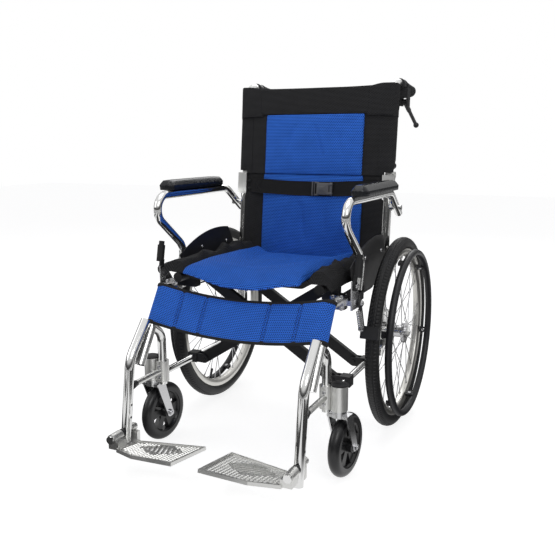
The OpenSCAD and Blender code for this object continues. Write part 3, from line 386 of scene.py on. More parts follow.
def vary(tree, value, low, high, socket):
    """Feeds a socket with a texture's value stretched to run from low to high."""
    span = tree.nodes.new("ShaderNodeMapRange")
    span.inputs["To Min"].default_value, span.inputs["To Max"].default_value = low, high
    tree.links.new(value, span.inputs["Value"])
    tree.links.new(span.outputs[0], socket)


def tint(tree, value, dark, light, socket):
    """Feeds a colour socket with a mix of two colours that follows a texture's value."""
    mix = tree.nodes.new("ShaderNodeMix")
    mix.data_type = "RGBA"
    mix.inputs["A"].default_value, mix.inputs["B"].default_value = (*dark, 1), (*light, 1)
    tree.links.new(value, mix.inputs["Factor"])
    tree.links.new(mix.outputs["Result"], socket)


def relief(tree, shader, value, strength, depth):
    """Bump on a shader from a texture's value; depth is in metres."""
    bump = tree.nodes.new("ShaderNodeBump")
    bump.inputs["Strength"].default_value, bump.inputs["Distance"].default_value = strength, depth
    tree.links.new(value, bump.inputs["Height"])
    tree.links.new(bump.outputs[0], shader.inputs["Normal"])


print("helpers:", ", ".join(helper.__name__ for helper in (vary, tint, relief)))

# %% [markdown]
# ## Metal
# The tubes are polished, the footplates and housings are cast and left a little rough, and the rims
# are brushed alloy. A plain colour would look like plastic, so a cloud of noise shifts each metal's
# colour and polish over a few centimetres, and a fine grain breaks up its mirror image.

# %% Metal
CLOUD_METAL = 14


def metal_finish(name, dark, light, smooth_side, rough_side, grain, depth):
    """Metal whose colour and polish drift along the surface, with a fine grain."""
    material, tree, shader = finish(name, light, smooth_side, 1.0)
    cloud = texture(tree, "ShaderNodeTexNoise", "Object", CLOUD_METAL, Scale=1, Detail=4)
    speck = texture(tree, "ShaderNodeTexNoise", "Object", grain, Scale=1, Detail=2)
    tint(tree, cloud.outputs["Fac"], dark, light, shader.inputs["Base Color"])
    vary(tree, cloud.outputs["Fac"], smooth_side, rough_side, shader.inputs["Roughness"])
    relief(tree, shader, speck.outputs["Fac"], 0.25, depth)
    return material


# Name, dark and light colour, smooth and rough side, grains per metre and depth of the grain.
for name, *look in (
    ("polished_tube", (0.64, 0.64, 0.64), (0.80, 0.80, 0.79), 0.04, 0.12, 700, 0.00003),
    ("cast_alloy", (0.56, 0.56, 0.55), (0.80, 0.80, 0.78), 0.30, 0.46, 900, 0.00012),
    ("bright_steel", (0.44, 0.44, 0.45), (0.62, 0.62, 0.63), 0.12, 0.28, 900, 0.00004),
    ("rim_alloy", (0.56, 0.55, 0.52), (0.72, 0.71, 0.68), 0.26, 0.40, 900, 0.00004),
):
    FINISH[name] = metal_finish(name, *look)
print("metals:", list(FINISH))

# %% [markdown]
# ## Rubber and plastic
# Tyres, grips, handrims and levers are all nearly black, and differ in how they shine. One function
# makes them all: a cloud of noise gives a slight bloom, and small cells give the grain of the mould.
# A row holds the same values as for a metal, and at its end how strongly the surface mirrors.

# %% Rubber and plastic
CLOUD_MOULDED = 22


def moulded_finish(name, dark, light, smooth_side, rough_side, grain, depth, gleam):
    """Plastic or rubber with a moulded grain and a slight bloom."""
    material, tree, shader = finish(name, light, smooth_side, Specular_IOR_Level=gleam)
    cloud = texture(tree, "ShaderNodeTexNoise", "Object", CLOUD_MOULDED, Scale=1, Detail=5)
    pits = texture(tree, "ShaderNodeTexVoronoi", "Object", grain, Scale=1)
    tint(tree, cloud.outputs["Fac"], dark, light, shader.inputs["Base Color"])
    vary(tree, cloud.outputs["Fac"], smooth_side, rough_side, shader.inputs["Roughness"])
    relief(tree, shader, pits.outputs["Distance"], 0.3, depth)
    return material


for name, *look in (
    ("tyre_rubber", (0.007, 0.007, 0.008), (0.014, 0.014, 0.015), 0.42, 0.60, 1500, 0.00010, 0.30),
    ("caster_rubber", (0.006, 0.006, 0.007), (0.012, 0.012, 0.013), 0.24, 0.38, 1200, 0.00006, 0.40),
    ("handrim_coat", (0.008, 0.008, 0.010), (0.015, 0.015, 0.018), 0.34, 0.48, 1400, 0.00005, 0.35),
    ("black_coat", (0.006, 0.006, 0.007), (0.012, 0.012, 0.013), 0.34, 0.50, 1400, 0.00005, 0.30),
    ("black_plastic", (0.012, 0.012, 0.013), (0.021, 0.021, 0.023), 0.40, 0.56, 1100, 0.00010, 0.30),
    ("arm_foam", (0.005, 0.006, 0.008), (0.010, 0.011, 0.014), 0.20, 0.32, 800, 0.00008, 0.30),
    ("grip_rubber", (0.006, 0.006, 0.007), (0.012, 0.012, 0.013), 0.50, 0.66, 1500, 0.00010, 0.30),
    ("cable_grey", (0.020, 0.020, 0.022), (0.040, 0.040, 0.043), 0.36, 0.50, 1200, 0.00004, 0.50),
    ("buckle_grey", (0.050, 0.050, 0.055), (0.085, 0.085, 0.090), 0.36, 0.50, 900, 0.00006, 0.50),
):
    FINISH[name] = moulded_finish(name, *look)
print("metal and moulded finishes:", len(FINISH))

# %% [markdown]
# ## Cloth
# The blue pads are covered with a spacer mesh, a knit with open cells, and the black cloth is a close
# weave. Both are rows of staggered cells: the cells are the holes and the walls between them the
# thread, in millimetres of the texture map. The holes are far darker than the thread: partly the
# open cells, partly painted shade in them. A slow cloud keeps the colour from being flat.

# %% Cloth
CLOUD_CLOTH = 26
FADED, FRESH = 0.80, 1.18


def woven_finish(name, shaded_hole, thread, wide, tall, wall, rough, depth, gleam):
    """Cloth as staggered cells that are wide, tall and walled by so many millimetres of its map; the cells
    get the dark hole colour, which is partly painted shade.
    """
    material, tree, shader = finish(name, thread, rough, Specular_IOR_Level=gleam)
    cells = texture(tree, "ShaderNodeTexBrick", "UV", 1 / MM, Scale=1, Mortar_Size=wall,
                    Mortar_Smooth=0.6, Brick_Width=wide, Row_Height=tall)
    cloud = texture(tree, "ShaderNodeTexNoise", "UV", CLOUD_CLOTH, Scale=1, Detail=6)
    weave = tree.nodes.new("ShaderNodeMix")
    weave.data_type = "RGBA"
    # The holes get a colour far darker than the thread: the open cells, with painted shade in them.
    weave.inputs["A"].default_value = (*shaded_hole, 1)
    faded, fresh = FADED * np.array(thread), FRESH * np.array(thread)
    tint(tree, cloud.outputs["Fac"], faded, fresh, weave.inputs["B"])
    tree.links.new(cells.outputs["Fac"], weave.inputs["Factor"])
    tree.links.new(weave.outputs["Result"], shader.inputs["Base Color"])
    relief(tree, shader, cells.outputs["Fac"], 0.6, depth)
    return material


# Name, colour of the holes (partly painted shade) and the thread, cell and wall in millimetres, roughness,
# depth and gleam.
for name, *look in (
    ("blue_mesh", (0.005, 0.022, 0.110), (0.036, 0.172, 0.740), 5.0, 4.0, 1.2, 0.70, 0.0008, 0.12),
    ("black_cloth", (0.004, 0.004, 0.004), (0.036, 0.036, 0.038), 4.0, 3.2, 0.8, 0.80, 0.0005, 0.12),
    ("black_webbing", (0.004, 0.004, 0.005), (0.015, 0.015, 0.016), 2.6, 1.5, 0.35, 0.66, 0.0004, 0.16),
    ("thread", (0.006, 0.006, 0.007), (0.014, 0.014, 0.015), 0.6, 0.3, 0.1, 0.60, 0.0001, 0.20),
):
    FINISH[name] = woven_finish(name, *look)
print("finishes:", len(FINISH))

# %% [markdown]
# ## Finishes of the solids
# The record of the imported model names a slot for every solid, such as tube, casting or rubber. The
# finish of the same name goes on it, so a solid and the pieces beside it share one look.

# %% Finishes of the solids
for entry in frame["record"]["subparts"]:
    solid = nodes[entry["node"]]
    solid.data.materials.clear()
    solid.data.materials.append(FINISH[entry["material_slot"]])

# %% [markdown]
# ## The chair's own lines
# Cloth hangs on the tubes, so the few lines that it follows are written down once: the raked back
# posts, the seat rails and the side rails under them. They are the same lines as in the solids.

# %% Lines of the frame
AXLE_Y, AXLE_Z, FRAME_X = 0.175, 0.254, 0.217
TUBE_R, CLOTH_T = 0.011, 0.003
SLEEVE_R = TUBE_R + CLOTH_T
POST_SET, RAKE = 0.018, np.radians(5.7)
HINGE_Z, HANDLE_Z = 0.668, 0.916
RAIL_TOP, SIDE_RAIL_Z, BRACE_X = 0.442, 0.400, 0.185
SEAT_FRONT, LOW_OFF = 0.372, 0.008
BACK_OUT = np.array([0, -np.cos(RAKE), np.sin(RAKE)])
X_AXIS = (1, 0, 0)


def post_y(z):
    """Distance back of the post axis at a height."""
    return AXLE_Y + POST_SET + (z - AXLE_Z) * np.tan(RAKE)


def on_back(x, z, off):
    """Points beside the back posts: x across, z up the post, off forward of its axis."""
    x, z, off = np.broadcast_arrays(x, z, off)
    return np.stack([x, post_y(z) - off * np.cos(RAKE), z + off * np.sin(RAKE)], -1).astype(float)


print("post at the hinge, y =", round(float(post_y(HINGE_Z)), 4))

# %% [markdown]
# ## Brake cables
# Each hand brake pulls a cable that runs down behind the post and under the seat to the parking
# brake. Its length is what the frame gives it, held at both ends, so it is drawn along that route
# rather than dropped as a loose cord.

# %% Route of a brake cable
CABLE_D = 0.0048
HANDLE_DIP = np.radians(6)
HANDLE_WAY = np.array([0, np.cos(HANDLE_DIP), -np.sin(HANDLE_DIP)])
BRACKET_RUN, BRACKET_DROP = 0.065, 0.039
BRACKET = np.array([FRAME_X, post_y(HANDLE_Z), HANDLE_Z]) + BRACKET_RUN * HANDLE_WAY
CABLE_X, CABLE_TOP = FRAME_X - 0.0025, BRACKET[2] - BRACKET_DROP
PARK_X = 0.254
BEHIND, UNDER = -SLEEVE_R - 0.006, SIDE_RAIL_Z - TUBE_R - 0.005
ROUTE = np.array([
    (CABLE_X, BRACKET[1], CABLE_TOP - 0.0002),
    (CABLE_X, BRACKET[1] - 0.006, CABLE_TOP - 0.026),
    on_back(FRAME_X, HINGE_Z + 0.130, BEHIND - 0.008),
    on_back(FRAME_X - 0.006, HINGE_Z + 0.090, BEHIND),
    on_back(FRAME_X - 0.020, HINGE_Z + 0.030, BEHIND),
    on_back(FRAME_X - 0.020, HINGE_Z - 0.030, BEHIND),
    on_back(FRAME_X - 0.012, HINGE_Z - 0.110, BEHIND),
    on_back(FRAME_X - 0.016, 0.470, BEHIND),
    on_back(FRAME_X - 0.017, 0.418, 0.002),
    (FRAME_X - 0.015, AXLE_Y - 0.020, UNDER + 0.002),
    (FRAME_X - 0.002, AXLE_Y - 0.070, UNDER),
    (FRAME_X, AXLE_Y - 0.170, UNDER),
    (FRAME_X + 0.010, AXLE_Y - 0.230, UNDER - 0.002),
    (PARK_X - 0.006, AXLE_Y - 0.266, 0.384),
    (PARK_X - 0.004, AXLE_Y - 0.2847, 0.386),
])
print("points on the route:", len(ROUTE))

# %% [markdown]
# ## The cable itself
# A stiff cable bends evenly between the points where it is guided. A cubic through those points does
# the same: it passes each one in the direction from the point before to the point after.

# %% Brake cables
BEND = 0.035


def through(points, steps):
    """A smooth line through points: between two of them, the cubic with the slopes of its neighbours."""
    p = np.concatenate([points[:1], points, points[-1:]])
    t = np.linspace(0, 1, steps, endpoint=False)[None, :, None]
    a, b, c, d = (p[k:k + len(points) - 1, None] for k in range(4))
    line = 0.5 * (2 * b + (c - a) * t + (2 * a - 5 * b + 4 * c - d) * t**2 + (3 * b - a - 3 * c + d) * t**3)
    return np.concatenate([line.reshape(-1, 3), points[-1:]])


for word, sign in SIDES:
    line = through(ROUTE, 14) * np.array([sign, 1, 1])
    outline = oval(CABLE_D / 2, CABLE_D / 2, 12)
    cable = sweep(f"{word}_cable", line, (1, 0.02, 0.03), outline, FINISH["cable_grey"])
    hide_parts(f"{word}_brake_cable")
    above, below = (tuple(on_back(sign * FRAME_X, HINGE_Z + dz, 0)) for dz in (BEND, -BEND))
    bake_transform(cable)

# %% [markdown]
# ## Points in and out
# A pad is worked on after its mesh exists, so its points are read into an array and written back in
# one call each. A modifier's result is taken as a new mesh, which leaves the piece itself plain.

# %% Points of a mesh


def mesh_points(mesh):
    """All the points of a mesh as one array."""
    flat = np.empty(len(mesh.vertices) * 3, np.float32)
    mesh.vertices.foreach_get("co", flat)
    return flat.reshape(-1, 3).astype(float)


def put_points(piece, points):
    """Moves the points of a piece to the rows of an array."""
    piece.data.vertices.foreach_set("co", points.astype(np.float32).ravel())
    piece.data.update()


def baked(piece):
    """The mesh of a piece with its modifiers worked in."""
    graph = bpy.context.evaluated_depsgraph_get()
    return bpy.data.meshes.new_from_object(piece.evaluated_get(graph))


def refine(piece):
    """One step of subdivision, the same in view and render."""
    step = piece.modifiers.new("refine", "SUBSURF")
    step.levels = step.render_levels = 1


print("points of a cable:", len(mesh_points(cable.data)))

# %% [markdown]
# ## Filling a pad
# A sewn pad is two skins with foam pressing them apart. Its rounded edge and slight unevenness come
# from that pressure, so the pad is first drawn a little thin, cut into even cells, and then swollen
# by Blender's cloth with air pressure inside. The side that lies on its support is held still, and
# no point may move further than a set cap.

# %% Pad filling
FILL_FRAMES, FILL_PRESSURE, FILL_CAP = 20, 3.0, 0.005
VOXEL, HELD_DEPTH = 0.004, 0.004


def even_cells(piece):
    """Cuts a closed pad into even cells, and puts its finish back on."""
    surface = piece.data.materials[0]
    even = piece.modifiers.new("even", "REMESH")
    even.mode, even.voxel_size = "VOXEL", VOXEL
    plain = baked(piece)
    piece.modifiers.clear()
    piece.data = plain
    piece.data.materials.clear()
    piece.data.materials.append(surface)
    piece.data.polygons.foreach_set("use_smooth", np.ones(len(plain.polygons), bool))


def puff(piece, held):
    """Swells a closed pad by cloth pressure; held(points) marks the points that stay where they are."""
    even_cells(piece)
    before = mesh_points(piece.data)
    stays = piece.vertex_groups.new(name="held")
    stays.add(np.flatnonzero(held(before)).tolist(), 1.0, "REPLACE")
    fill = piece.modifiers.new("fill", "CLOTH")
    fill.settings.use_pressure = True
    fill.settings.uniform_pressure_force = FILL_PRESSURE
    fill.settings.vertex_group_mass = "held"
    fill.settings.effector_weights.gravity = 0
    for step in range(1, FILL_FRAMES + 1):
        scene.frame_set(step)
    swollen = baked(piece)
    shift = mesh_points(swollen) - before
    bpy.data.meshes.remove(swollen)
    piece.modifiers.clear()
    piece.vertex_groups.clear()
    scene.frame_set(1)
    length = np.linalg.norm(shift, axis=1, keepdims=True)
    put_points(piece, before + shift * np.minimum(1, FILL_CAP / np.maximum(length, 1e-9)))


print("cells of a pad:", VOXEL / MM, "mm")

# %% [markdown]
# ## Seat sling
# A black sling hangs between the two seat rails and sags under its own cloth. It could be dropped on
# the rails as a cloth simulation, but it is stretched tight, so two height functions say it better:
# the upper face is a trough with a wing over each rail, and the lower face lies on the rails.

# %% Height of the sling
SLING_HALF, SLING_BACK = 0.213, 0.004
WING_H, PAD_HALF = 0.026, 0.150
SAG_FRONT, SAG_MORE = 0.012, 0.016
BED_FRONT, BED_MORE = 0.010, 0.090


def sling_top(x, y):
    """Height of the upper face, y from the rear axle: a trough, wider and deeper at the back, and wings."""
    far, back = np.abs(x), ease((y + SEAT_FRONT) / SEAT_FRONT)
    bed = BED_FRONT + BED_MORE * back
    trough = (SAG_FRONT + SAG_MORE * back) * (1 - ease((far - bed) / (BRACE_X - 0.020 - bed)))
    rise = ease((far - PAD_HALF - 0.004) / 0.022)
    fall = 1 - 0.75 * ease((far - BRACE_X - 0.004) / 0.030)
    return RAIL_TOP + 0.004 - trough + WING_H * rise * fall


def sling_low(x, y):
    """Height of the lower face: on the rails, and never closer than the cloth to the upper face."""
    far = np.abs(x)
    inner = 0.011 * ease((BRACE_X - 0.015 - far) / 0.026)
    outer = 0.015 * ease((far - BRACE_X - 0.015) / 0.014)
    return np.minimum(RAIL_TOP + 0.0004 - inner - outer, sling_top(x, y) - CLOTH_T)


print("sling's lowest point, z =", round(float(sling_top(0.0, 0.0)), 3))

# %% [markdown]
# ## Folds of the wings
# The cloth outside the pad is loose and lies in soft folds. Each fold is a bell across a short line
# that fades at its ends, so a few rows of numbers place them all: the height, the two ends as the
# distance from the middle and from the rear axle, and the width. A negative height is a dent.

# %% Folds of the wings
RIGHT_FOLDS = (
    (0.009, (0.160, -0.300), (0.212, -0.190), 0.009),
    (0.013, (0.165, -0.150), (0.215, -0.110), 0.016),
    (0.010, (0.170, -0.050), (0.212, -0.085), 0.011),
    (-0.005, (0.170, -0.200), (0.212, -0.150), 0.008),
)
LEFT_FOLDS = (
    (0.012, (0.160, -0.085), (0.213, -0.055), 0.018),
    (0.007, (0.158, -0.230), (0.212, -0.270), 0.010),
    (-0.004, (0.160, -0.140), (0.212, -0.150), 0.008),
    (0.006, (0.165, -0.330), (0.212, -0.310), 0.008),
)


def ridge(x, y, start, stop, width):
    """A soft fold from one place to another: a bell across it, fading at its ends."""
    run = np.subtract(stop, start)
    rx, ry = np.abs(x) - start[0], y - start[1]
    share = (rx * run[0] + ry * run[1]) / (run @ run)
    away = (rx * run[1] - ry * run[0]) / np.linalg.norm(run)
    return bell(away / width) * ease(6 * share + 0.4) * ease(6 * (1 - share) + 0.4)


def wing_folds(x, y):
    """Height of the slack folds: the ridges of that side and a fine crumple, only outside the pad."""
    loose = ease((np.abs(x) - PAD_HALF - 0.004) / 0.02)
    right = sum(high * ridge(x, y, start, stop, wide) for high, start, stop, wide in RIGHT_FOLDS)
    left = sum(high * ridge(x, y, start, stop, wide) for high, start, stop, wide in LEFT_FOLDS)
    coarse = 0.0016 * np.sin(52 * y + 120 * np.abs(x)) * np.sin(23 * y + 1.1)
    fine = 0.0007 * np.sin(97 * y - 150 * x)
    return loose * (np.where(x < 0, right, left) + (coarse + fine))


print("folds:", len(RIGHT_FOLDS), "on the right and", len(LEFT_FOLDS), "on the left")

# %% [markdown]
# ## Sewing the sling together
# The two faces become one closed slab of cloth. Its front and back edges droop a little, its sides
# are ruffled, and on the right a corner of cloth flaps out over the rail.

# %% Seat sling
u, v = grid(120, 90)
across = SLING_HALF * (2 * u - 1)
deep = -SEAT_FRONT + (SEAT_FRONT + SLING_BACK) * v
droop = 0.002 * (2 * v - 1) ** 8 * (1 - ease((np.abs(across) - BRACE_X + 0.050) / 0.025))
ruffle = 0.006 * np.sin(40 * deep + 3) * ease((np.abs(across) - 0.195) / 0.018)
flap = 0.028 * bell((deep + 0.335) / 0.032) * ease((-across - 0.190) / 0.023)
spread = across + 0.3 * ruffle * np.sign(across) - flap
high = sling_top(across, deep) - droop + wing_folds(across, deep) + 0.1 * flap
top = np.stack([spread, AXLE_Y + deep, high], -1)
low = np.stack([spread, AXLE_Y + deep, sling_low(across, deep) - droop + 0.5 * flap], -1)
sling = slab("seat_sling_cloth", top, low, FINISH["black_cloth"], np.stack([across, deep], -1))
dress(sling, "seat", "black_cloth", "seat_sling")
FOLD_SLING = dict(axis=X_AXIS, anchor=(-BRACE_X, 0, 0), keep=0.22)
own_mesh(sling)
print("sling:", len(sling.data.vertices), "points")

# %% [markdown]
# ## Seat pad
# The blue pad lies on the sling and rolls down over its front edge. It is drawn as a slab whose
# height follows the sling, so that it sags with it, and is then filled like the other pads.

# %% Seat pad
ROLL_R, PAD_FLAT = 0.018, SEAT_FRONT + 0.002
PAD_RUN = PAD_FLAT + ROLL_R * np.radians(80)
PAD_THICK, PAD_SIDE = 0.026, 0.017


def seat_lift(s, t, x):
    """A point of the pad: s forward along the sling, t above it, x across; past the edge it turns down."""
    turn = np.maximum(0, s - PAD_FLAT) / ROLL_R
    y = 0.002 - np.minimum(s, PAD_FLAT)
    base = sling_top(x, y) + 0.0004
    dip = ROLL_R * (1 - np.where(x < 0, 0.95, 0.6) * ease((np.abs(x) - 0.040) / 0.110))
    z = base - dip * (1 - np.cos(turn)) + t * np.cos(turn)
    return np.stack([x, AXLE_Y + y - (ROLL_R + t) * np.sin(turn), z], -1)


def on_sling(p):
    """Marks the points that lie on the sling."""
    return p[:, 2] < sling_top(p[:, 0], np.maximum(p[:, 1] - AXLE_Y, -SEAT_FRONT)) + HELD_DEPTH


u, v = grid(70, 80)
across, run = PAD_HALF * (2 * u - 1), PAD_RUN * (1 - v)
full = dome(u, 6) * dome(v, 14)
top = seat_lift(run, PAD_SIDE + (PAD_THICK - PAD_SIDE) * full, across)
seat = slab("seat_pad", top, seat_lift(run, 0.0006 + 0 * u, across), FINISH["blue_mesh"])
puff(seat, on_sling)
p = mesh_points(seat.data)
p[:, 2] += 0.0012 * np.sin(46 * p[:, 0] + 9 * p[:, 1]) * np.sin(31 * p[:, 1] + 1.3)
put_points(seat, p)
p = mesh_points(seat.data)
lay_map(seat.data, np.stack([p[:, 0], p[:, 1] + p[:, 2]], -1))
refine(seat)
dress(seat, "seat", "blue_mesh", "seat_cushion")
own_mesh(seat)
print("seat pad:", len(seat.data.vertices), "points")

# %% [markdown]
# ## Fold values of the back
# When the chair folds, its two sides come together and the cloth of the back is pushed into a third
# of its width. A real back wrinkles; here each piece that joins the sides is given fold values: a line
# to shrink toward and the share of its width kept. Those for pieces on the frame name the left post,
# and those for narrower ones the middle of the gap. The script does not move the pieces by them.

# %% Folding and sheets of the back
FOLD_SHARE, FOLDED_W = 0.309, 0.149
FOLD_BACK = dict(axis=X_AXIS, anchor=(FRAME_X, 0, 0), keep=FOLD_SHARE)


def gather(keep):
    """Fold values for keeping a piece to a share of its width, about a line midway between the folded posts.
    """
    return dict(axis=X_AXIS, anchor=((FRAME_X - FOLDED_W / 2) / (1 - keep), 0, 0), keep=keep)


FOLD_PANEL, FOLD_PAD = gather(FOLD_SHARE), gather(0.29)


def back_sheet(name, x, z, off, along, thickness, turn=-1):
    """Black cloth on the back from grids of x, z and distance off the posts; its map is along and z."""
    rows, cols = x.shape
    faces = quads(rows, cols)[:, ::turn]
    piece = make(name, on_back(x, z, off), faces, FINISH["black_cloth"], np.stack([along, z], -1))
    wall = piece.modifiers.new("wall", "SOLIDIFY")
    wall.thickness, wall.offset = thickness, -1
    return piece


print("the panel keeps", FOLD_SHARE, "of its width")

# %% [markdown]
# ## Upper back cover
# The upper back is a black cover: a flat sheet in front of the posts, and a doubled band that closes
# its top and bows down a little in the middle. Both are grids laid along the raked posts.

# %% Upper cover and band
COVER_R = SLEEVE_R - 0.0004
COVER_LOW, COVER_TOP = HINGE_Z - 0.005, HANDLE_Z - 0.015
SEAM_X = FRAME_X - 0.028
BAND_LOW, BAND_OFF, BAND_BOW = 0.829, SLEEVE_R + 0.002, 0.006

t, v = grid(90, 60)
x = (SEAM_X + 0.005) * (2 * t - 1)
z = COVER_LOW + (COVER_TOP - 0.050 - COVER_LOW) * v
cover = back_sheet("back_cover", x, z, COVER_R, x, 0.0018)
dress(cover, "left_back", "black_cloth", "back_upper", fold=FOLD_PANEL)

t, v = grid(120, 24)
x = (FRAME_X - 0.020) * (2 * t - 1)
band_top = COVER_TOP + 0.004 - BAND_BOW * (1 - (np.abs(x) / FRAME_X) ** 4)
z = BAND_LOW + (band_top - BAND_LOW) * v
roll = 0.0016 * dome(v, 8) + 0.0006 * np.sin(60 * x) * v
band = back_sheet("back_band", x, z, BAND_OFF + roll, x, 0.003)
dress(band, "left_back", "black_cloth", fold=FOLD_PANEL)
print("upper cover from", round(COVER_LOW, 3), "to", round(COVER_TOP, 3), "m")

# %% [markdown]
# ## Sleeves
# A sleeve of the cover slides over each post. Seen along the post it is a line that runs outward
# along the front and then round the outside of the tube. Drawn this way it joins the flat cover
# without a step, which a separate tube of cloth would not.

# %% Sleeves


def wrap(s, radius, side_radius):
    """A line outward along the front of the back and then round a post, s from the middle.

    Past the post's axis it turns, and its radius shrinks from the first to the second on the way."""
    turn = np.maximum(0, s - FRAME_X) / radius
    r = side_radius + (radius - side_radius) * (1 - ease(turn / 0.9))
    return np.minimum(s, FRAME_X) + r * np.sin(turn), r * np.cos(turn)


def add_sleeve(word, sign):
    """A sleeve: three quarters of the way round its post, cut short behind, with a slight pucker."""
    t, v = grid(80, 60)
    radius = COVER_R + 0.0006
    s = SEAM_X + (FRAME_X - SEAM_X + radius * 4.6) * t
    x, off = wrap(s, radius, COVER_R + 0.0002)
    behind = ease((s - FRAME_X - 0.012) / 0.012)
    foot = COVER_LOW + 0.010 * ease((s - FRAME_X + 0.016) / 0.006) + 0.033 * behind
    z = foot + (HANDLE_Z - 0.058 - foot) * v
    waves = 0.0006 * np.sin(70 * z + 11 * s) + 0.0004 * np.sin(33 * s + 50 * z)
    pucker = waves * ease((s - SEAM_X) / 0.01) * (s < FRAME_X)
    sleeve = back_sheet(f"{word}_sleeve", sign * x, z, off + pucker, s, 0.0018, -sign)
    dress(sleeve, f"{word}_back", "black_cloth")


print("a sleeve starts", round(FRAME_X - SEAM_X, 3), "m inside its post")

# %% [markdown]
# ## Corner pockets
# A pocket of doubled cloth is folded over each top corner of the back. It follows the same line round
# the post as the sleeve, further out, and its head and foot slope where the cloth is drawn in.

# %% Corner pockets
POCKET_LOW, POCKET_KEEP = 0.8235, 0.4


def add_pocket(word, sign, inner):
    """A corner pocket from inner outward and round the post, puffed up by a dome between its seams."""
    t, v = grid(60, 26)
    radius = BAND_OFF + 0.003
    span = FRAME_X + radius * 1.9
    s = inner + (span - inner) * t
    x, off = wrap(s, radius, SLEEVE_R + 0.0004)
    edge = ease(t / 0.10)
    foot = POCKET_LOW - 0.004 * ease((t - 0.3) / 0.7)
    head = COVER_TOP + 0.0055 - 0.007 * (1 - ease(t / 0.45)) - 0.006 * ease((t - 0.82) / 0.18)
    z = foot + (head - foot) * v
    puffed = 0.0012 * dome(v, 6) + 0.0008 * np.sin(90 * s + 40 * z)
    off = off - 0.0026 * (1 - edge) + puffed * edge
    pocket = back_sheet(f"{word}_corner_pocket", sign * x, z, off, s, 0.0022, -sign)
    anchor = (sign * (FRAME_X + SLEEVE_R + 0.0004), 0, 0)
    fold = dict(axis=X_AXIS, anchor=anchor, keep=POCKET_KEEP)
    dress(pocket, f"{word}_back", "black_cloth", fold=fold)


for word, sign, inner in (("left", 1, 0.150), ("right", -1, 0.158)):
    add_sleeve(word, sign)
    add_pocket(word, sign, inner)
print("upper back: cover, band, two sleeves and two pockets")

# %% [markdown]
# ## Back pads
# Two blue pads lie on the covers. They are tight at their sides and a little slack in the middle,
# where soft creases run up them. A crease is a bell across a short line, sunk into the front face
# only. Both pads are drawn flat, filled, and then creased.

# %% Shape of a back pad
PAD_EDGE, PAD_FULL, SEWN = 0.0055, 0.013, 0.005


def back_pad(name, half, z0, z1, off):
    """A pad on the back: flat on its cover, its front bulged by a dome both ways."""
    u, v = grid(70, 60)
    x, z = half * (2 * u - 1), z0 + (z1 - z0) * v
    thick = PAD_EDGE + (PAD_FULL - PAD_EDGE) * (dome(u, 6) * dome(v, 6))
    return slab(name, on_back(x, z, off + thick), on_back(x, z, off + 0 * u), FINISH["blue_mesh"])


def off_back(p):
    """How far points lie in front of the post axis."""
    return (post_y(p[:, 2]) - p[:, 1]) * np.cos(RAKE)


def crease(p, start, stop, width):
    """A groove from one (x, z) to another: a bell across it, fading at both ends."""
    run = np.subtract(stop, start)
    rel = p[:, [0, 2]] - np.array(start)
    share = rel @ run / (run @ run)
    away = np.abs(rel @ np.array([-run[1], run[0]])) / np.linalg.norm(run)
    return bell(away / width) * np.sqrt(np.clip(4 * share * (1 - share), 0, 1))


def add_creases(piece, off, creases, groove, wave):
    """Sinks creases into a pad's front by a groove's depth, with a wave; the map is then x and z."""
    p = mesh_points(piece.data)
    front = ease((off_back(p) - off - HELD_DEPTH) / HELD_DEPTH)
    folds = sum(share * crease(p, start, stop, width) for share, start, stop, width in creases)
    depth = np.maximum(front * (wave(p[:, 0], p[:, 2]) - groove * folds), off + 0.0004 - off_back(p))
    put_points(piece, p + depth[:, None] * BACK_OUT)
    lay_map(piece.data, mesh_points(piece.data)[:, [0, 2]])
    refine(piece)


print("back pads are", PAD_FULL / MM, "mm thick before they are filled")

# %% [markdown]
# ## Upper pad
# The upper pad folds back with the posts, so it rides on the folding half of the back. Its lower edge
# is held at the hinge.

# %% Upper back pad
UPPER_HALF, UPPER_OFF = 0.146, SLEEVE_R + 0.0003
# Share of the depth, both ends as (x, z), and width.
UPPER_CREASES = (
    (1.0, (0.034, 0.712), (0.006, 0.805), 0.005),
    (0.8, (-0.078, 0.720), (-0.052, 0.805), 0.006),
    (0.5, (0.085, 0.720), (0.075, 0.790), 0.008),
)


def upper_held(p):
    """Marks the rear face, both sides and the foot of the upper pad."""
    sewn = (np.abs(p[:, 0]) > UPPER_HALF - SEWN) | (p[:, 2] < HINGE_Z)
    return (off_back(p) < UPPER_OFF + HELD_DEPTH) | sewn


def upper_wave(x, z):
    """A soft unevenness of 1.2 mm: one sine across and one up."""
    return 0.0012 * np.sin(37 * x + 1) * np.sin(41 * z)


upper = back_pad("back_pad_high", UPPER_HALF, HINGE_Z - 0.005, HANDLE_Z - 0.086, UPPER_OFF)
puff(upper, upper_held)
add_creases(upper, UPPER_OFF, UPPER_CREASES, 0.0042, upper_wave)
dress(upper, "left_back", "blue_mesh", "back_pad_upper", fold=FOLD_PAD)
print("upper pad:", len(upper.data.vertices), "points")

# %% [markdown]
# ## Lower pad
# The lower pad stays with the frame when the back folds down. Its head is held at the hinge and its
# foot reaches down behind the seat, so that no light shows between them.

# %% Lower back pad
BACK_FOOT = 0.422
LOWER_HALF, LOWER_OFF = 0.150, LOW_OFF + CLOTH_T + 0.0003
LOWER_CREASES = (
    (1.0, (-0.012, 0.480), (-0.028, 0.590), 0.007),
    (0.7, (0.052, 0.500), (0.040, 0.600), 0.008),
    (0.7, (-0.100, 0.470), (-0.080, 0.580), 0.008),
)


def lower_held(p):
    """Marks the rear face, both sides and the head of the lower pad."""
    sewn = (np.abs(p[:, 0]) > LOWER_HALF - SEWN) | (p[:, 2] > HINGE_Z - 0.009)
    return (off_back(p) < LOWER_OFF + HELD_DEPTH) | sewn


def lower_wave(x, z):
    """A soft unevenness of 1.4 mm: one sine across and one up."""
    return 0.0014 * np.sin(29 * x + 2) * np.sin(33 * z)


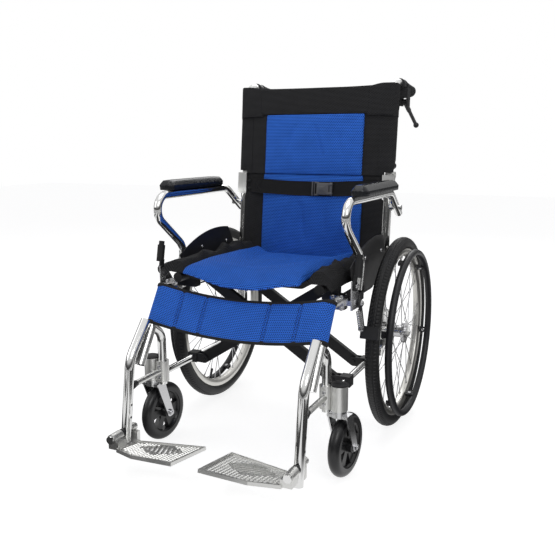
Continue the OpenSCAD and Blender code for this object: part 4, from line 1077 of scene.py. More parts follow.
lower = back_pad("back_pad_low", LOWER_HALF, BACK_FOOT + 0.001, HINGE_Z - 0.004, LOWER_OFF)
puff(lower, lower_held)
add_creases(lower, LOWER_OFF, LOWER_CREASES, 0.0036, lower_wave)
dress(lower, "left_frame", "blue_mesh", "back_pad_lower", fold=FOLD_PAD)
print("lower pad:", len(lower.data.vertices), "points")

# %% [markdown]
# ## Lower back cover
# Under the hinge the cover is a plain sheet between the posts. It is a little narrower beside the
# hinge, where the folding half needs room, and loose by half a millimetre outside the pad.

# %% Lower back cover
NECK_Z = HINGE_Z - 0.066
COVER_WIDE, COVER_NARROW = FRAME_X - 0.0083, FRAME_X - 0.0135
u, v = grid(60, 60)
z = BACK_FOOT + (HINGE_Z + 0.002 - BACK_FOOT) * v
x = np.where(z < NECK_Z, COVER_WIDE, COVER_NARROW) * (2 * u - 1)
wave = 0.0005 * np.sin(50 * z + 20 * x) * ease((np.abs(x) - 0.152) / 0.02)
low_cover = back_sheet("low_back_cover", x, z, LOW_OFF + CLOTH_T + wave - 0.0004, x, 0.0024)
dress(low_cover, "left_frame", "black_cloth", "back_lower", fold=FOLD_BACK)
print("lower cover:", round(2 * COVER_WIDE, 3), "m wide")

# %% [markdown]
# ## Calf strap
# The strap hangs across the front posts in a shallow curve and is closed round each of them. It is a
# thin pad with four sewn lines and a black tape bound over both long edges. The same function gives
# the face, the tape and the stitch lines.

# %% Lie of the calf strap
FRONT_AT = np.array([0.0, AXLE_Y - 0.388, SIDE_RAIL_Z])
SLOPE = np.radians(32.7)
DOWN = np.array([0.0, -np.sin(SLOPE), -np.cos(SLOPE)])
OUTWARD = np.array([0.0, -np.cos(SLOPE), np.sin(SLOPE)])
STRAP_H, STRAP_SAG, STRAP_RISE, STRAP_BOW = 0.094, 0.018, 0.008, 0.014
WRAP_R, WRAP_TURN = 0.012, 2.4
STRAP_REACH = FRAME_X + WRAP_R * WRAP_TURN


def strap_point(t, v, lift):
    """A point of the strap: t along it, v down it, lift off the posts; it bows in and sags between them."""
    s = (2 * t - 1) * STRAP_REACH
    turn = np.maximum(0, np.abs(s) - FRAME_X) / WRAP_R
    bow = np.maximum(0, 1 - (s / FRAME_X) ** 2)
    r = TUBE_R + 0.0004 + lift
    x = np.sign(s) * (np.minimum(np.abs(s), FRAME_X) + r * np.sin(turn))
    down = -STRAP_RISE + STRAP_H * v + STRAP_SAG * bow
    out = r * np.cos(turn) - STRAP_BOW * bow
    flat = np.stack([x, 0 * x, 0 * x], -1)
    return flat + FRONT_AT + down[..., None] * DOWN + out[..., None] * OUTWARD


print("strap:", round(2 * STRAP_REACH, 3), "m along its cloth")

# %% [markdown]
# ## Padding and tape of the strap
# The face swells between the sewn lines and is flat where it goes round the posts. It is too thin to
# fill with pressure, so the swelling is a dome less a bell at each seam. The tape is an oval outline
# carried along each edge.

# %% Calf strap with bound edges
STRAP_SEAMS = (0.155, 0.078, -0.086, -0.150)
SEAM_W, SWELL, TAPE_LIFT = 0.0045, 0.0048, 0.0016
t, v = grid(260, 40)
s = (2 * t - 1) * STRAP_REACH
sewn = sum(bell((s - seam) / SEAM_W) for seam in STRAP_SEAMS)
plump = dome(v, 6) * ease((FRAME_X + 0.004 - np.abs(s)) / 0.02)
ripple = 0.0004 * np.sin(60 * s) * np.sin(40 * v)
face = strap_point(t, v, 0.0022 + plump * (SWELL * (1 - 0.92 * np.minimum(1, sewn)) + ripple))
back = strap_point(t, v, 0.0004 + 0 * t)
strap = slab("calf_strap_pad", face, back, FINISH["blue_mesh"], np.stack([s, STRAP_H * v], -1))
dress(strap, "left_frame", "blue_mesh", "calf_strap")
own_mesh(strap)
t = np.linspace(0, 1, 261)
for word, place in (("upper", 0.0), ("lower", 1.0)):
    line, raised = (strap_point(t, place + 0 * t, lift + 0 * t) for lift in (TAPE_LIFT, TAPE_LIFT + 0.010))
    outline = oval(0.0050, 0.0026, 12)
    tape = sweep(f"strap_{word}_tape", line, raised - line, outline, FINISH["black_webbing"])
    dress(tape, "left_frame", "black_webbing", fold=FOLD_BACK)
print("strap seams at", STRAP_SEAMS)

# %% [markdown]
# ## Lap belt
# A band of webbing runs across the lower pad and is bolted to the cover at both ends. Webbing is too
# thin to fill, so it is drawn directly: low at its bolts, over the pad between them, and hanging by
# a few millimetres in the middle.

# %% Lap belt
BELT_Z, BELT_H, BELT_HALF = HINGE_Z - 0.036, 0.040, FRAME_X - 0.0142
BELT_RISE, BELT_DIP = 0.017, 0.008


def belt_off(x):
    """How far the belt stands off the post axis: low at its bolts, over the pad between."""
    return LOWER_OFF + BELT_RISE * ease((BELT_HALF - 0.003 - np.abs(x)) / 0.046)


def belt_point(x, v, lift):
    """A point of the belt: x across, v up its width, lift off its inner face."""
    z = BELT_Z - BELT_DIP * (1 - (x / BELT_HALF) ** 2) + BELT_H * (v - 0.5)
    return on_back(x, z, belt_off(x) + lift)


u, v = grid(130, 16)
x = BELT_HALF * (2 * u - 1)
edge = 0.0005 * (np.abs(2 * v - 1) > 0.86)
face, back = belt_point(x, v, 0.0020 + edge), belt_point(x, v, 0.0004 + 0 * u)
belt = slab("lap_belt_webbing", face, back, FINISH["black_webbing"], np.stack([x, BELT_H * v], -1))
dress(belt, "left_frame", "black_webbing", "lap_belt", fold=FOLD_BACK)
print("belt spans", round(2 * BELT_HALF, 3), "m")

# %% [markdown]
# ## Buckle
# The side-release buckle is moulded plastic. Its housing, two prongs, side grips and webbing bars
# are all blocks with rounded edges. A block is a ball's grid whose eight parts are pushed apart to
# the block's corners, so no bevel is needed.

# %% Belt buckle
BUCKLE_X, BUCKLE_OFF = 0.038, LOWER_OFF + BELT_RISE + 0.0024 + 0.0052
BALL_STEPS = 5
# Place, size and rounding of each block, along, across and out of the belt.
BUCKLE = (
    ((0.004, 0, 0), (0.036, 0.034, 0.009), 0.0025),
    ((0.024, 0.0125, 0), (0.016, 0.007, 0.0085), 0.0025),
    ((0.024, -0.0125, 0), (0.016, 0.007, 0.0085), 0.0025),
    ((0.027, 0, -0.0008), (0.008, 0.036, 0.006), 0.002),
    ((-0.014, 0.0165, 0), (0.010, 0.005, 0.009), 0.0022),
    ((-0.014, -0.0165, 0), (0.010, 0.005, 0.009), 0.0022),
    ((-0.0265, 0, 0.0005), (0.004, 0.040, 0.006), 0.0018),
    ((-0.0205, 0, -0.001), (0.003, 0.040, 0.004), 0.0014),
    ((0.000, 0, 0.004), (0.020, 0.014, 0.003), 0.0012),
)


def rounded_box(size, round_by):
    """Points of a block with rounded edges: each part of a small ball moved out to its corner."""
    rises = np.linspace(-np.pi / 2, np.pi / 2, 2 * BALL_STEPS)
    turn, rise = np.meshgrid(around(4 * BALL_STEPS) + 1e-4, rises, indexing="ij")
    ball = np.stack([np.cos(turn) * np.cos(rise), np.sin(turn) * np.cos(rise), np.sin(rise)], -1)
    points = np.sign(np.round(ball, 6)) * (np.asarray(size) / 2 - round_by) + round_by * ball
    return points.reshape(-1, 3)


blocks = [rounded_box(size, round_by) + np.array(place) for place, size, round_by in BUCKLE]
box_faces = quads(4 * BALL_STEPS, 2 * BALL_STEPS, True)
faces = np.concatenate([box_faces + k * len(blocks[0]) for k in range(len(blocks))]).tolist()
buckle_at = on_back(BUCKLE_X, BELT_Z - 0.0078, BUCKLE_OFF)
buckle = copies("belt_buckle", np.concatenate(blocks), faces, buckle_at, X_AXIS, BACK_OUT,
                FINISH["buckle_grey"], 35)
dress(buckle, "left_frame", "black_webbing", fold=FOLD_BACK)
print("blocks of the buckle:", len(BUCKLE))

# %% [markdown]
# ## Tyres
# A tyre is a ring whose section is a circle with flat beads. Its tread is cut in by a function of
# the angle round the wheel and the place across it: three grooves run round, slits cross the
# shoulders, shallow cuts cross the middle, and two thin lines run round each wall. A bump on a plain
# ring would be quicker, but it would not show at the tyre's outline.

# %% Tread of a tyre
WHEEL_X = 0.271
TYRE_R, TYRE_MID, RIM_R = 0.017, 0.237, 0.224
TREAD_ROWS, TREAD_COLS, TREAD_COUNT = 1000, 44, 166
GROOVES, GROOVE_W, TREAD_DEEP = (-0.0062, 0.0, 0.0062), 0.0010, 0.0016
LEAN_MOST, TREAD_LEAN = 2.35, 1.2

ring = around(TREAD_ROWS)[:, None]
lean = np.linspace(-LEAN_MOST, LEAN_MOST, TREAD_COLS)[None, :]
wide = TYRE_R * np.sin(lean)
across = np.abs(wide)
groove = sum(bell((wide - at) / GROOVE_W) for at in GROOVES)
shoulder = ease((across - 0.0072) / 0.001) * (1 - ease((across - 0.0132) / 0.0012))
slit = (np.cos(TREAD_COUNT * ring + 180 * wide) > 0.45) * shoulder
rib = (np.cos(TREAD_COUNT * ring - 260 * across) > 0.3) * (across < 0.0054) * (across > 0.0010)
wall_line = bell((np.abs(lean) - 1.75) / 0.035) + bell((np.abs(lean) - 1.35) / 0.03)
cut = TREAD_DEEP * np.maximum(np.maximum(groove, 0.9 * slit), 0.45 * rib)
tread_r = TYRE_R - ((np.abs(lean) < TREAD_LEAN) * cut + 0.0005 * wall_line)
tyre_r = np.maximum(TYRE_MID + tread_r * np.cos(lean), RIM_R + 0.0003)
tyre_x = WHEEL_X + tread_r * np.sin(lean)
print("tread slits per shoulder:", TREAD_COUNT)

# %% [markdown]
# ## Wheels
# The rim is a hollow-bedded alloy hoop. Half of its profile is written down, from the bead to the
# spoke bed, and mirrored, and the whole is turned about the axle. A tyre and a rim go on each side.

# %% Tyres and rims
RIM_BED = (0.2048, 0.0)
RIM_HALF = np.array([
    (0.2240, 0.0118), (0.2222, 0.0124), (0.2195, 0.0120), (0.2150, 0.0119),
    (0.2128, 0.0112), (0.2075, 0.0082), (0.2045, 0.0058), (0.2040, 0.0040),
])
rim_profile = np.concatenate([RIM_HALF, [RIM_BED], RIM_HALF[::-1] * (1, -1)])

for word, sign in SIDES:
    tyre_y, tyre_z = AXLE_Y + tyre_r * np.cos(ring), AXLE_Z + tyre_r * np.sin(ring)
    points = np.stack([sign * tyre_x + 0 * ring, tyre_y, tyre_z], -1)
    faces = quads(TREAD_ROWS, TREAD_COLS, True, True)[:, ::-sign]
    tyre = make(f"{word}_tyre_tread", points, faces, FINISH["tyre_rubber"], sharp=30)
    dress(tyre, f"{word}_wheel", "tyre_rubber", f"{word}_tyre")
    hub = (sign * WHEEL_X, AXLE_Y, AXLE_Z)
    rim = spun(f"{word}_rim_hoop", rim_profile, hub, X_AXIS, FINISH["rim_alloy"], 240, True)
    dress(rim, f"{word}_wheel", "rim_alloy", f"{word}_rim")
print("points of a tyre:", len(tyre.data.vertices))

# %% [markdown]
# ## Arm pads
# The arm pads are moulded foam with a smooth skin: straight sides, a broad bevel and a flat top. The
# top is a height over the pad's outline that rises with the distance from the edge, so the bevel runs
# evenly round the rounded ends. A bevel modifier would pinch there.

# %% Arm pads
ARM_X, ARM_Y, ARM_Z = 0.253, AXLE_Y - 0.042, 0.6362
ARM_LEN, ARM_W, ARM_H, BEVEL = 0.276, 0.042, 0.024, 0.012
NOSE_R, TAIL_R = 0.023, 0.014


def rounded_end(room, radius):
    """Share of the full width at a distance from the end: a curve fuller than a circle of that radius."""
    return np.sqrt(np.clip(1 - (np.clip(radius - room, 0, None) / radius) ** 2.6, 0, 1))


u, v = grid(41, 121)
back = ARM_LEN * (1 - np.cos(np.pi * v)) / 2
half = ARM_W / 2 * np.minimum(rounded_end(ARM_LEN - back, NOSE_R), rounded_end(back, TAIL_R))
x = half * np.sin(np.pi / 2 * (2 * u - 1))
room = np.minimum(half - np.abs(x), np.minimum(back, ARM_LEN - back))
rise = BEVEL * (1 - (1 - np.clip(room / BEVEL, 0, 1)) ** 1.25)
crown = 0.0012 * bell(x / 0.014) * ease(back / 0.05) * ease((ARM_LEN - back) / 0.05)
high = ARM_Z + ARM_H - BEVEL + rise + crown - 0.0006
for word, sign in SIDES:
    top = np.stack([sign * (ARM_X + x), ARM_Y - back, high], -1)
    low = np.stack([sign * (ARM_X + 0.96 * x), ARM_Y - back * 0.995, np.full_like(x, ARM_Z)], -1)
    pad = slab(f"{word}_arm_cushion", top, low, FINISH["arm_foam"], sharp=50)
    if sign < 0:
        pad.data.flip_normals()
    dress(pad, f"{word}_arm", "arm_foam", f"{word}_arm_pad")
print("arm pads:", ARM_LEN, "by", ARM_W, "m")

# %% [markdown]
# ## Hand grips
# A rubber sleeve is pushed over the end of each handle. It has a flange at both ends, rings that the
# fingers hold, a slight waist and a rounded tip. All of it is one profile turned about the handle.

# %% Hand grips
HANDLE_LEN, GRIP_LEN, GRIP_R, GRIP_BORE = 0.172, 0.098, 0.0155, 0.0112
RING_PITCH, RING_H = 0.007, 0.0009
run = np.linspace(0, GRIP_LEN, 160)
rings = RING_H * (np.cos(2 * np.pi * run / RING_PITCH) > 0.1) * ((run > 0.012) & (run < 0.084))
flange = 0.0016 * (run < 0.006) + 0.0012 * (run > 0.092)
waist = -0.0008 * np.sin(np.pi * run / GRIP_LEN)
outer = np.stack([GRIP_R - 0.0006 + rings + flange + waist, run], -1)
outer[-3:, 0] -= np.array([0.0006, 0.0022, 0.006])
profile = np.concatenate([[(GRIP_BORE, 0.0)], outer, [(0.004, GRIP_LEN + 0.0004)]])
for word, sign in SIDES:
    corner = np.array([sign * FRAME_X, post_y(HANDLE_Z), HANDLE_Z])
    start = corner + (HANDLE_LEN - GRIP_LEN + 0.004) * HANDLE_WAY
    grip = spun(f"{word}_ringed_grip", profile, start, HANDLE_WAY, FINISH["grip_rubber"], 40)
    dress(grip, f"{word}_back", "grip_rubber", f"{word}_grip")
print("grips:", GRIP_LEN, "m long")

# %% [markdown]
# ## Sewing
# A seam is a row of stitches, each a small raised bead of thread. One bead is modelled once and
# copied along lines taken from the same functions as the cloth, so it lies on the cloth wherever
# that bends. A painted seam would not catch the light.

# %% A stitch and a seam
STITCH = MM * np.array([
    (-1.9, 0, 0), (-0.9, -0.6, 0), (0.9, -0.6, 0), (1.9, 0, 0),
    (0.9, 0.6, 0), (-0.9, 0.6, 0), (-0.8, 0, 0.7), (0.8, 0, 0.7),
])
STITCH_FACES = [(0, 1, 6), (1, 2, 7, 6), (2, 3, 7), (3, 4, 7), (4, 5, 6, 7), (5, 0, 6), (0, 5, 4, 3, 2, 1)]
PITCH, PITCH_FINE = 0.0054, 0.0044


def sew(name, lines, out, body, fold, pitch=PITCH):
    """Stitches at a pitch along several lines, standing out from the cloth; tells how many."""
    spots, ways = zip(*(spaced(line, pitch) for line in lines))
    places = np.concatenate(spots)
    row = copies(name, STITCH, STITCH_FACES, places, np.concatenate(ways), out, FINISH["thread"])
    dress(row, body, "black_cloth", fold=fold)
    return len(places)


print("stitch:", len(STITCH), "points")

# %% [markdown]
# ## Seams of the back
# The band and the sleeves have double seams, and the lower cover has two beside each post. They run
# just off the cloth, so that the thread stands proud of it.

# %% Seams of the back
flat_x = np.linspace(-0.140, 0.140, 60)
up_line = np.linspace(COVER_LOW + 0.006, BAND_LOW - 0.004, 40)
down_line = np.linspace(0.440, NECK_Z - 0.004, 40)
lines = [on_back(flat_x, BAND_LOW + dz, BAND_OFF + 0.0019) for dz in (0.005, 0.009)]
count = sew("band_stitches", lines, BACK_OUT, "left_back", FOLD_PANEL)
for word, sign in SIDES:
    lines = [on_back(sign * x, up_line, COVER_R + 0.0010) for x in (0.1925, 0.1965)]
    count += sew(f"{word}_sleeve_stitches", lines, BACK_OUT, f"{word}_back", None)
lines = [on_back(x, down_line, LOW_OFF + CLOTH_T) for x in (-0.189, -0.184, 0.184, 0.189)]
count += sew("low_back_stitches", lines, BACK_OUT, "left_frame", FOLD_BACK)
print("stitches on the back:", count)

# %% [markdown]
# ## Seams of the strap, the belt and the seat
# The calf strap is sewn down beside each of its four lines. The belt ends are boxed and crossed, which
# is how webbing is made to hold a load. The sling has a seam beside the pad and one along its hem.

# %% Seams of the strap, the belt and the seat
seam_v = np.linspace(0.08, 0.92, 30)
lines = []
for seam in STRAP_SEAMS:
    for beside in (-0.0035, 0.0035):
        t = (seam + beside + STRAP_REACH) / (2 * STRAP_REACH) + 0 * seam_v
        lines.append(strap_point(t, seam_v, 0.0056 + 0 * seam_v))
count = sew("strap_stitches", lines, OUTWARD, "left_frame", FOLD_BACK)

BELT_FACE = 0.0026
end_v, end_x = np.linspace(0.15, 0.85, 12), np.linspace(0.150, 0.172, 12)
lines = []
for w in (-1, 1):
    foot = belt_point(w * end_x, 0 * end_x + 0.18, BELT_FACE)
    head = belt_point(w * end_x[::-1], 0 * end_x + 0.82, BELT_FACE)
    lines.append(np.concatenate([foot, head]))
lines += [belt_point(w * end_x, end_v[::d], BELT_FACE) for w in (-1, 1) for d in (-1, 1)]
count += sew("belt_stitches", lines, BACK_OUT, "left_frame", FOLD_BACK, PITCH_FINE)

wing_y = np.linspace(-SEAT_FRONT + 0.008, -0.004, 80)
lines = []
for seam in (-0.205, -0.162, 0.162, 0.205):
    x = np.full_like(wing_y, seam)
    lines.append(np.stack([x, AXLE_Y + wing_y, sling_top(x, wing_y) + wing_folds(x, wing_y)], -1))
count += sew("seat_stitches", lines, (0, 0, 1), "seat", FOLD_SLING)
print("stitches on the strap, belt and seat:", count)

# %% [markdown]
# ## Fasteners
# Bolts are what make a frame look assembled. A button head is a small turned profile with a socket
# in its crown; nuts, spoke nipples and tyre valves are turned in the same way, a nut with only six
# sides. One helper sets copies of them on a body so that they stand out from it.

# %% Shapes of the fasteners


def turned(profile, count=14):
    """Points and faces of a (radius, height) profile in millimetres turned about z, closed at both ends."""
    profile = MM * np.asarray(profile, float)
    turn = around(count)
    x, y = np.outer(np.cos(turn), profile[:, 0]), np.outer(np.sin(turn), profile[:, 0])
    points = np.stack([x, y, np.outer(np.ones(count), profile[:, 1])], -1)
    cols = len(profile)
    caps = [list(range(count * cols - cols, -1, -cols)), list(range(cols - 1, count * cols, cols))]
    return points.reshape(-1, 3), quads(count, cols, True).tolist() + caps


def studs(name, shape, places, out, body, slot="bright_steel", surface="bright_steel", fold=None):
    """Copies of a turned shape that stand out from a body."""
    places = np.atleast_2d(places)
    out = np.broadcast_to(out, places.shape)
    side = np.where(np.abs(out[:, :1]) > 0.9, (0.0, 1.0, 0.0), (1.0, 0.0, 0.0))
    row = copies(name, *shape, places, np.cross(out, side), out, FINISH[surface])
    dress(row, body, slot, fold=fold)


BUTTON = turned([(4.6, -0.4), (4.6, 1.0), (4.0, 2.2), (2.6, 2.8), (2.1, 2.8), (2.0, 1.2)])
HEX_NUT = turned([(7.4, -0.3), (7.4, 3.8), (6.4, 4.6), (4.0, 4.6), (3.6, 6.4), (2.6, 6.8)], 6)
NIPPLE = turned([(2.3, -2.0), (2.3, 3.0), (1.8, 4.0), (1.7, 9.5), (1.2, 10.0)], 8)
VALVE = turned([(4.6, -1.0), (4.6, 2.5), (3.0, 3.0), (2.8, 20.0), (3.4, 20.5), (3.4, 29.0), (2.4, 30.0)], 12)
print("faces of a button head:", len(BUTTON[1]))

# %% [markdown]
# ## Bolts of the frame
# The belt is held by two black bolts at each end, the side guards by four bolts with a nut behind
# each, and the caster housings are clamped to the frame by two.

# %% Bolts of the frame
BELT_BOLT_X, CASTER_Y = 0.1945, AXLE_Y - 0.400
GUARD_X, GUARD_T, HOUSING_R = 0.2302, 0.002, 0.0158
GUARD_BOLTS = ((-0.045, 0.425), (-0.200, 0.425), (-0.045, 0.478), (-0.180, 0.478))
over_belt = belt_off(BELT_BOLT_X) + 0.0024
ends = [on_back(w * BELT_BOLT_X, BELT_Z + dz, over_belt) for w in (-1, 1) for dz in (-0.011, 0.011)]
studs("belt_bolts", BUTTON, np.array(ends), BACK_OUT, "left_frame", "black_plastic", "black_coat", FOLD_BACK)
guard = np.array([(GUARD_X, AXLE_Y + y, z) for y, z in GUARD_BOLTS])
for word, sign in SIDES:
    mirror = np.array([sign, 1, 1])
    studs(f"{word}_guard_bolts", BUTTON, guard * mirror, (sign, 0, 0), f"{word}_frame")
    studs(f"{word}_guard_nuts", BUTTON, (guard - (GUARD_T, 0, 0)) * mirror, (-sign, 0, 0), f"{word}_frame")
    clamp = np.array([(sign * FRAME_X, CASTER_Y - HOUSING_R, z) for z in (0.184, 0.210)])
    studs(f"{word}_clamp_bolts", BUTTON, clamp, (0, -1, 0), f"{word}_frame")
print("guard bolts per side:", len(guard))

# %% [markdown]
# ## Fasteners of the wheels
# Each spoke is held by a nipple in the rim and runs from it to the hub. The nipples point along the
# spokes, so the lacing of the solids is worked out again here. Six bolts hold the tabs of the
# handrim, and the valve stands inward from the rim.

# %% Nipples, tab bolts and valves
SPOKES, SPOKE_LACE = 28, np.radians(48.0)
HUB_R, HUB_HALF, HEAD_OUT = 0.025, 0.018, 0.0026
NIPPLE_R, NIPPLE_OUT, RIM_INNER = 0.207, 0.003, 0.204
TAB_X, TAB_R, TAB_COUNT, TAB_FIRST = 0.294, 0.2028, 6, 18
VALVE_AT = np.radians(248)

side_of = np.repeat((-1, 1), SPOKES // 2)
k = np.tile(np.arange(SPOKES // 2), 2)
lean = np.where(k % 2 == 0, 1, -1)
at_hub = np.radians(360 * (k + np.where(side_of < 0, 0, 0.5)) / (SPOKES // 2))
at_rim = at_hub + SPOKE_LACE * lean
head_x, foot_x = WHEEL_X + HUB_HALF * side_of + HEAD_OUT * lean, WHEEL_X + NIPPLE_OUT * side_of
head = np.stack([head_x, HUB_R * np.cos(at_hub), HUB_R * np.sin(at_hub)], -1)
foot = np.stack([foot_x, NIPPLE_R * np.cos(at_rim), NIPPLE_R * np.sin(at_rim)], -1)
to_hub = unit(head - foot)
nipples = foot + 0.002 * to_hub + (0, AXLE_Y, AXLE_Z)
tab = np.radians(360 / TAB_COUNT * np.arange(TAB_COUNT) + TAB_FIRST)
inward = np.stack([0 * tab, np.sin(tab), -np.cos(tab)], -1)
valve_way = np.array([0, np.cos(VALVE_AT), np.sin(VALVE_AT)])
for word, sign in SIDES:
    mirror, wheel = np.array([sign, 1, 1]), f"{word}_wheel"
    tabs = np.array([sign * TAB_X, AXLE_Y, AXLE_Z]) - TAB_R * inward
    studs(f"{word}_tab_bolts", BUTTON, tabs, inward, wheel)
    studs(f"{word}_nipples", NIPPLE, nipples * mirror, to_hub * mirror, wheel)
    stem = np.array([sign * WHEEL_X, AXLE_Y, AXLE_Z]) + RIM_INNER * valve_way
    studs(f"{word}_valve", VALVE, stem, -valve_way, wheel, "black_plastic", "black_plastic")
print("nipples per wheel:", SPOKES)

# %% [markdown]
# ## Caster nuts
# The small front wheels run on bolts with a nut on each side of the fork. The casters stand turned a
# little, as they come to rest after the chair has been pushed.

# %% Caster nuts
CASTER_X, CASTER_Z, CASTER_TRAIL, FORK_HALF = 0.248, 0.0745, 0.036, 0.025
CASTER_YAW = np.radians(6)
roll_axis = np.array([np.cos(CASTER_YAW), -np.sin(CASTER_YAW), 0])
for word, sign in SIDES:
    trail = CASTER_TRAIL * np.array([np.sin(CASTER_YAW), np.cos(CASTER_YAW), 0])
    roller = np.array([sign * CASTER_X, CASTER_Y, CASTER_Z]) + trail
    both = np.array([roll_axis, -roll_axis])
    studs(f"{word}_caster_nuts", HEX_NUT, roller + FORK_HALF * both, both, f"{word}_caster_swivel")
print("casters turned by", round(np.degrees(CASTER_YAW), 1), "degrees")

# %% [markdown]
# ## Parking brake springs
# A pull rod with a coil spring over it takes the shoe off the tyre when the lever is let go. The coil
# is a circle that travels along the rod, with a thin round wire carried along it. The pins of the
# lever and the shoe end in nuts.

# %% Springs of the parking brakes
PARK_PIN, SHOE_PIN = (AXLE_Y - 0.334, 0.440), (AXLE_Y - 0.296, 0.392)
COIL_TURNS, COIL_R, COIL_WIRE, ROD_R = 10, 0.0056, 0.0012, 0.0026
rod_top = np.array([PARK_X + 0.0025, SHOE_PIN[0] - 0.0060, SHOE_PIN[1] - 0.0178])
rod_foot = np.array([PARK_X + 0.0025, SHOE_PIN[0] + 0.0131, SHOE_PIN[1] - 0.0631])
rod_way = unit(rod_foot - rod_top)
part_way = np.linspace(0, 1, 16 * COIL_TURNS + 1)[:, None]
wind = 2 * np.pi * COIL_TURNS * part_way
circle = np.cos(wind) * X_AXIS + np.sin(wind) * np.cross(rod_way, X_AXIS)
coil = rod_top + part_way * (rod_foot - rod_top) + COIL_R * circle
rod_line = np.array([rod_top - 0.005 * rod_way, rod_foot])
pins = np.array([(PARK_X + 0.0055, *PARK_PIN), (PARK_X + 0.0055, *SHOE_PIN)])
base_y = PARK_PIN[0] - 0.012
base = np.array([(FRAME_X + x, base_y, SIDE_RAIL_Z + z) for x in (-0.009, 0.012) for z in (-0.0135, 0.0135)])
steel = FINISH["bright_steel"]
for word, sign in SIDES:
    mirror = np.array([sign, 1, 1])
    wire = oval(COIL_WIRE, COIL_WIRE, 6)
    spring = sweep(f"{word}_shoe_spring", coil * mirror, rod_way * mirror, wire, steel)
    dress(spring, f"{word}_shoe", "bright_steel")
    rod = sweep(f"{word}_shoe_rod", rod_line * mirror, X_AXIS, oval(ROD_R, ROD_R), steel)
    dress(rod, f"{word}_shoe", "bright_steel")
    studs(f"{word}_rod_nut", HEX_NUT, rod_foot * mirror, rod_way * mirror, f"{word}_shoe")
    studs(f"{word}_brake_nuts", HEX_NUT, pins * mirror, (sign, 0, 0), f"{word}_frame")
    studs(f"{word}_base_bolts", BUTTON, base * mirror, (0, -1, 0), f"{word}_frame")
print("coils per spring:", COIL_TURNS)

# %% [markdown]
# ## Footplate tread
# The cast footplates carry a grid of low pads that stop a shoe from slipping. A grid of points is
# laid on the plate's floor, the points outside its outline or over the slots are dropped, and one
# small pad is copied to the rest.

# %% Grid of tread pads
PLATE_OUT, PLATE_GAP, PLATE_FRONT, PLATE_DEPTH = 0.2025, 0.032, -0.650, 0.146
PLATE_SHOULDER, TREAD_EDGE, TREAD_PITCH = -0.529, 0.010, 0.0085
SLOTS_HALF = (0.062, 0.046)
rows, cols = np.arange(0.030, 0.205, TREAD_PITCH), np.arange(-0.655, -0.480, TREAD_PITCH)
spot = np.stack(np.meshgrid(rows, cols, indexing="ij"), -1).reshape(-1, 2)
corners = np.array([
    (PLATE_GAP + TREAD_EDGE, PLATE_FRONT + TREAD_EDGE),
    (0.65 * PLATE_OUT + TREAD_EDGE, PLATE_FRONT + 0.009 + TREAD_EDGE),
    (PLATE_OUT - TREAD_EDGE, PLATE_FRONT + 0.038 + TREAD_EDGE),
    (PLATE_OUT - TREAD_EDGE, PLATE_SHOULDER - TREAD_EDGE),
    (PLATE_GAP + 0.002 + TREAD_EDGE, PLATE_FRONT + PLATE_DEPTH - TREAD_EDGE),
])
run, gap = np.roll(corners, -1, 0) - corners, spot[:, None] - corners
inside = (run[:, 0] * gap[..., 1] - run[:, 1] * gap[..., 0] > 0).all(1)
middle = np.array([(PLATE_GAP + PLATE_OUT) / 2 - 0.004, PLATE_FRONT + 0.58 * PLATE_DEPTH])
solid = (np.abs(spot - middle) / SLOTS_HALF).sum(1) > 1
spot = spot[inside & solid]
print("tread pads per plate:", len(spot))

# %% [markdown]
# ## Laying the tread
# The plates stand tilted: their rear edges are low and their inner edges a little high. The grid is
# turned by the same two angles about the knuckle that carries the plate, and mirrored for the other
# foot.

# %% Tread pads
KNUCKLE_Y, PLATE_TOP, PLATE_FLOOR = -0.60973, 0.080, -0.0025
PITCH_TURN, CANT_TURN = np.radians(-9.6), np.radians(3.7)
TREAD = turned([(4.0, -0.3), (3.4, 0.9), (2.4, 1.5)], 4)
cos, sin = np.cos(PITCH_TURN), np.sin(PITCH_TURN)
pitched = np.array([(1, 0, 0), (0, cos, -sin), (0, sin, cos)])
cos, sin = np.cos(CANT_TURN), np.sin(CANT_TURN)
canted = np.array([(cos, 0, sin), (0, 1, 0), (-sin, 0, cos)])
tilt = canted @ pitched
local = np.stack([spot[:, 0] - PLATE_OUT, spot[:, 1] - KNUCKLE_Y, np.full(len(spot), PLATE_FLOOR)], -1)
for word, sign in SIDES:
    mirror = np.array([sign, 1, 1])
    places = (local @ tilt.T + (PLATE_OUT, KNUCKLE_Y + AXLE_Y, PLATE_TOP)) * mirror
    ahead, up = tilt[:, 0] * mirror, tilt[:, 2] * mirror
    tread = copies(f"{word}_plate_tread", *TREAD, places, ahead, up, FINISH["cast_alloy"])
    dress(tread, f"{word}_foot", "cast_alloy")
print("tread points per plate:", len(tread.data.vertices))

# %% [markdown]
# ## Floor
# The studio's floor is a sheet of white paper lit so brightly that it hardly shows a shadow, so the
# floor here gives off light of its own. Polished tubes on plain white would look flat. Photographers
# stand dark cards beside the set, and here mirror-like rays alone see the floor striped with them.

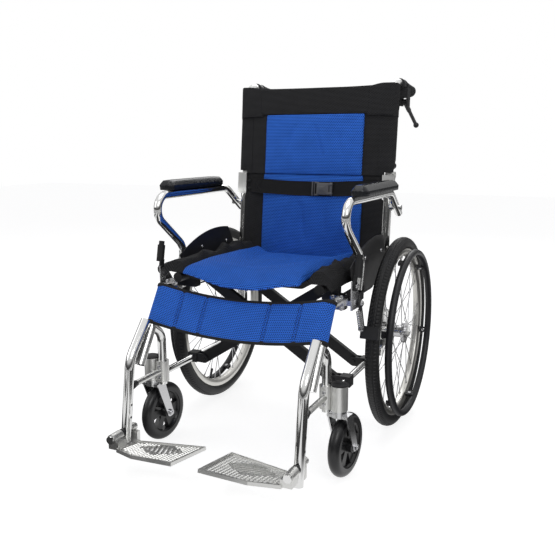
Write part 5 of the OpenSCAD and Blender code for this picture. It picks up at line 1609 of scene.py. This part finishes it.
# %% Floor
FLOOR_HALF, FLOOR_DROP, FLOOR_GLOW = 9, 0.0004, 0.82
paper, _, _ = finish("pale_floor", (0.4, 0.4, 0.4), 0.9, Emission_Color=(1, 1, 1, 1),
                     Emission_Strength=FLOOR_GLOW)
square = FLOOR_HALF * np.array([(-1, -1, 0), (1, -1, 0), (1, 1, 0), (-1, 1, 0)])
floor = make("floor", square - (0, 0, FLOOR_DROP), [(0, 1, 2, 3)], paper)
print("floor:", 2 * FLOOR_HALF, "m square")

# %% [markdown]
# ## Cards beside the tubes
# The stripes are a cosine of the distance across the floor, cut hard at both ends. A light path node
# tells the floor which kind of ray is asking: mirror-like rays get the cards and all others the paper.

# %% Cards in the floor's mirror image
CARD_PITCH, CARD_WAY = 1.25, (0.908, 0.418, 0.0)
CARD_EDGES = (("From Min", -0.35), ("From Max", 0.45), ("To Min", 0.05), ("To Max", 1.0))
add, link = paper.node_tree.nodes.new, paper.node_tree.links.new
place, aside = add("ShaderNodeTexCoord"), add("ShaderNodeVectorMath")
swing, wave, cards = add("ShaderNodeMath"), add("ShaderNodeMath"), add("ShaderNodeMapRange")
glow, which, ray = add("ShaderNodeEmission"), add("ShaderNodeMixShader"), add("ShaderNodeLightPath")
aside.operation, swing.operation, wave.operation = "DOT_PRODUCT", "MULTIPLY", "COSINE"
aside.inputs[1].default_value = CARD_WAY
swing.inputs[1].default_value = 2 * np.pi / CARD_PITCH
for socket, value in CARD_EDGES:
    cards.inputs[socket].default_value = value
link(place.outputs["Object"], aside.inputs[0])
link(aside.outputs["Value"], swing.inputs[0])
link(swing.outputs[0], wave.inputs[0])
link(wave.outputs[0], cards.inputs["Value"])
link(cards.outputs[0], glow.inputs["Strength"])
link(ray.outputs["Is Glossy Ray"], which.inputs[0])
link(paper.node_tree.nodes["Principled BSDF"].outputs[0], which.inputs[1])
link(glow.outputs[0], which.inputs[2])
link(which.outputs[0], paper.node_tree.nodes["Material Output"].inputs["Surface"])
print("cards beside the tubes, every", CARD_PITCH, "m")
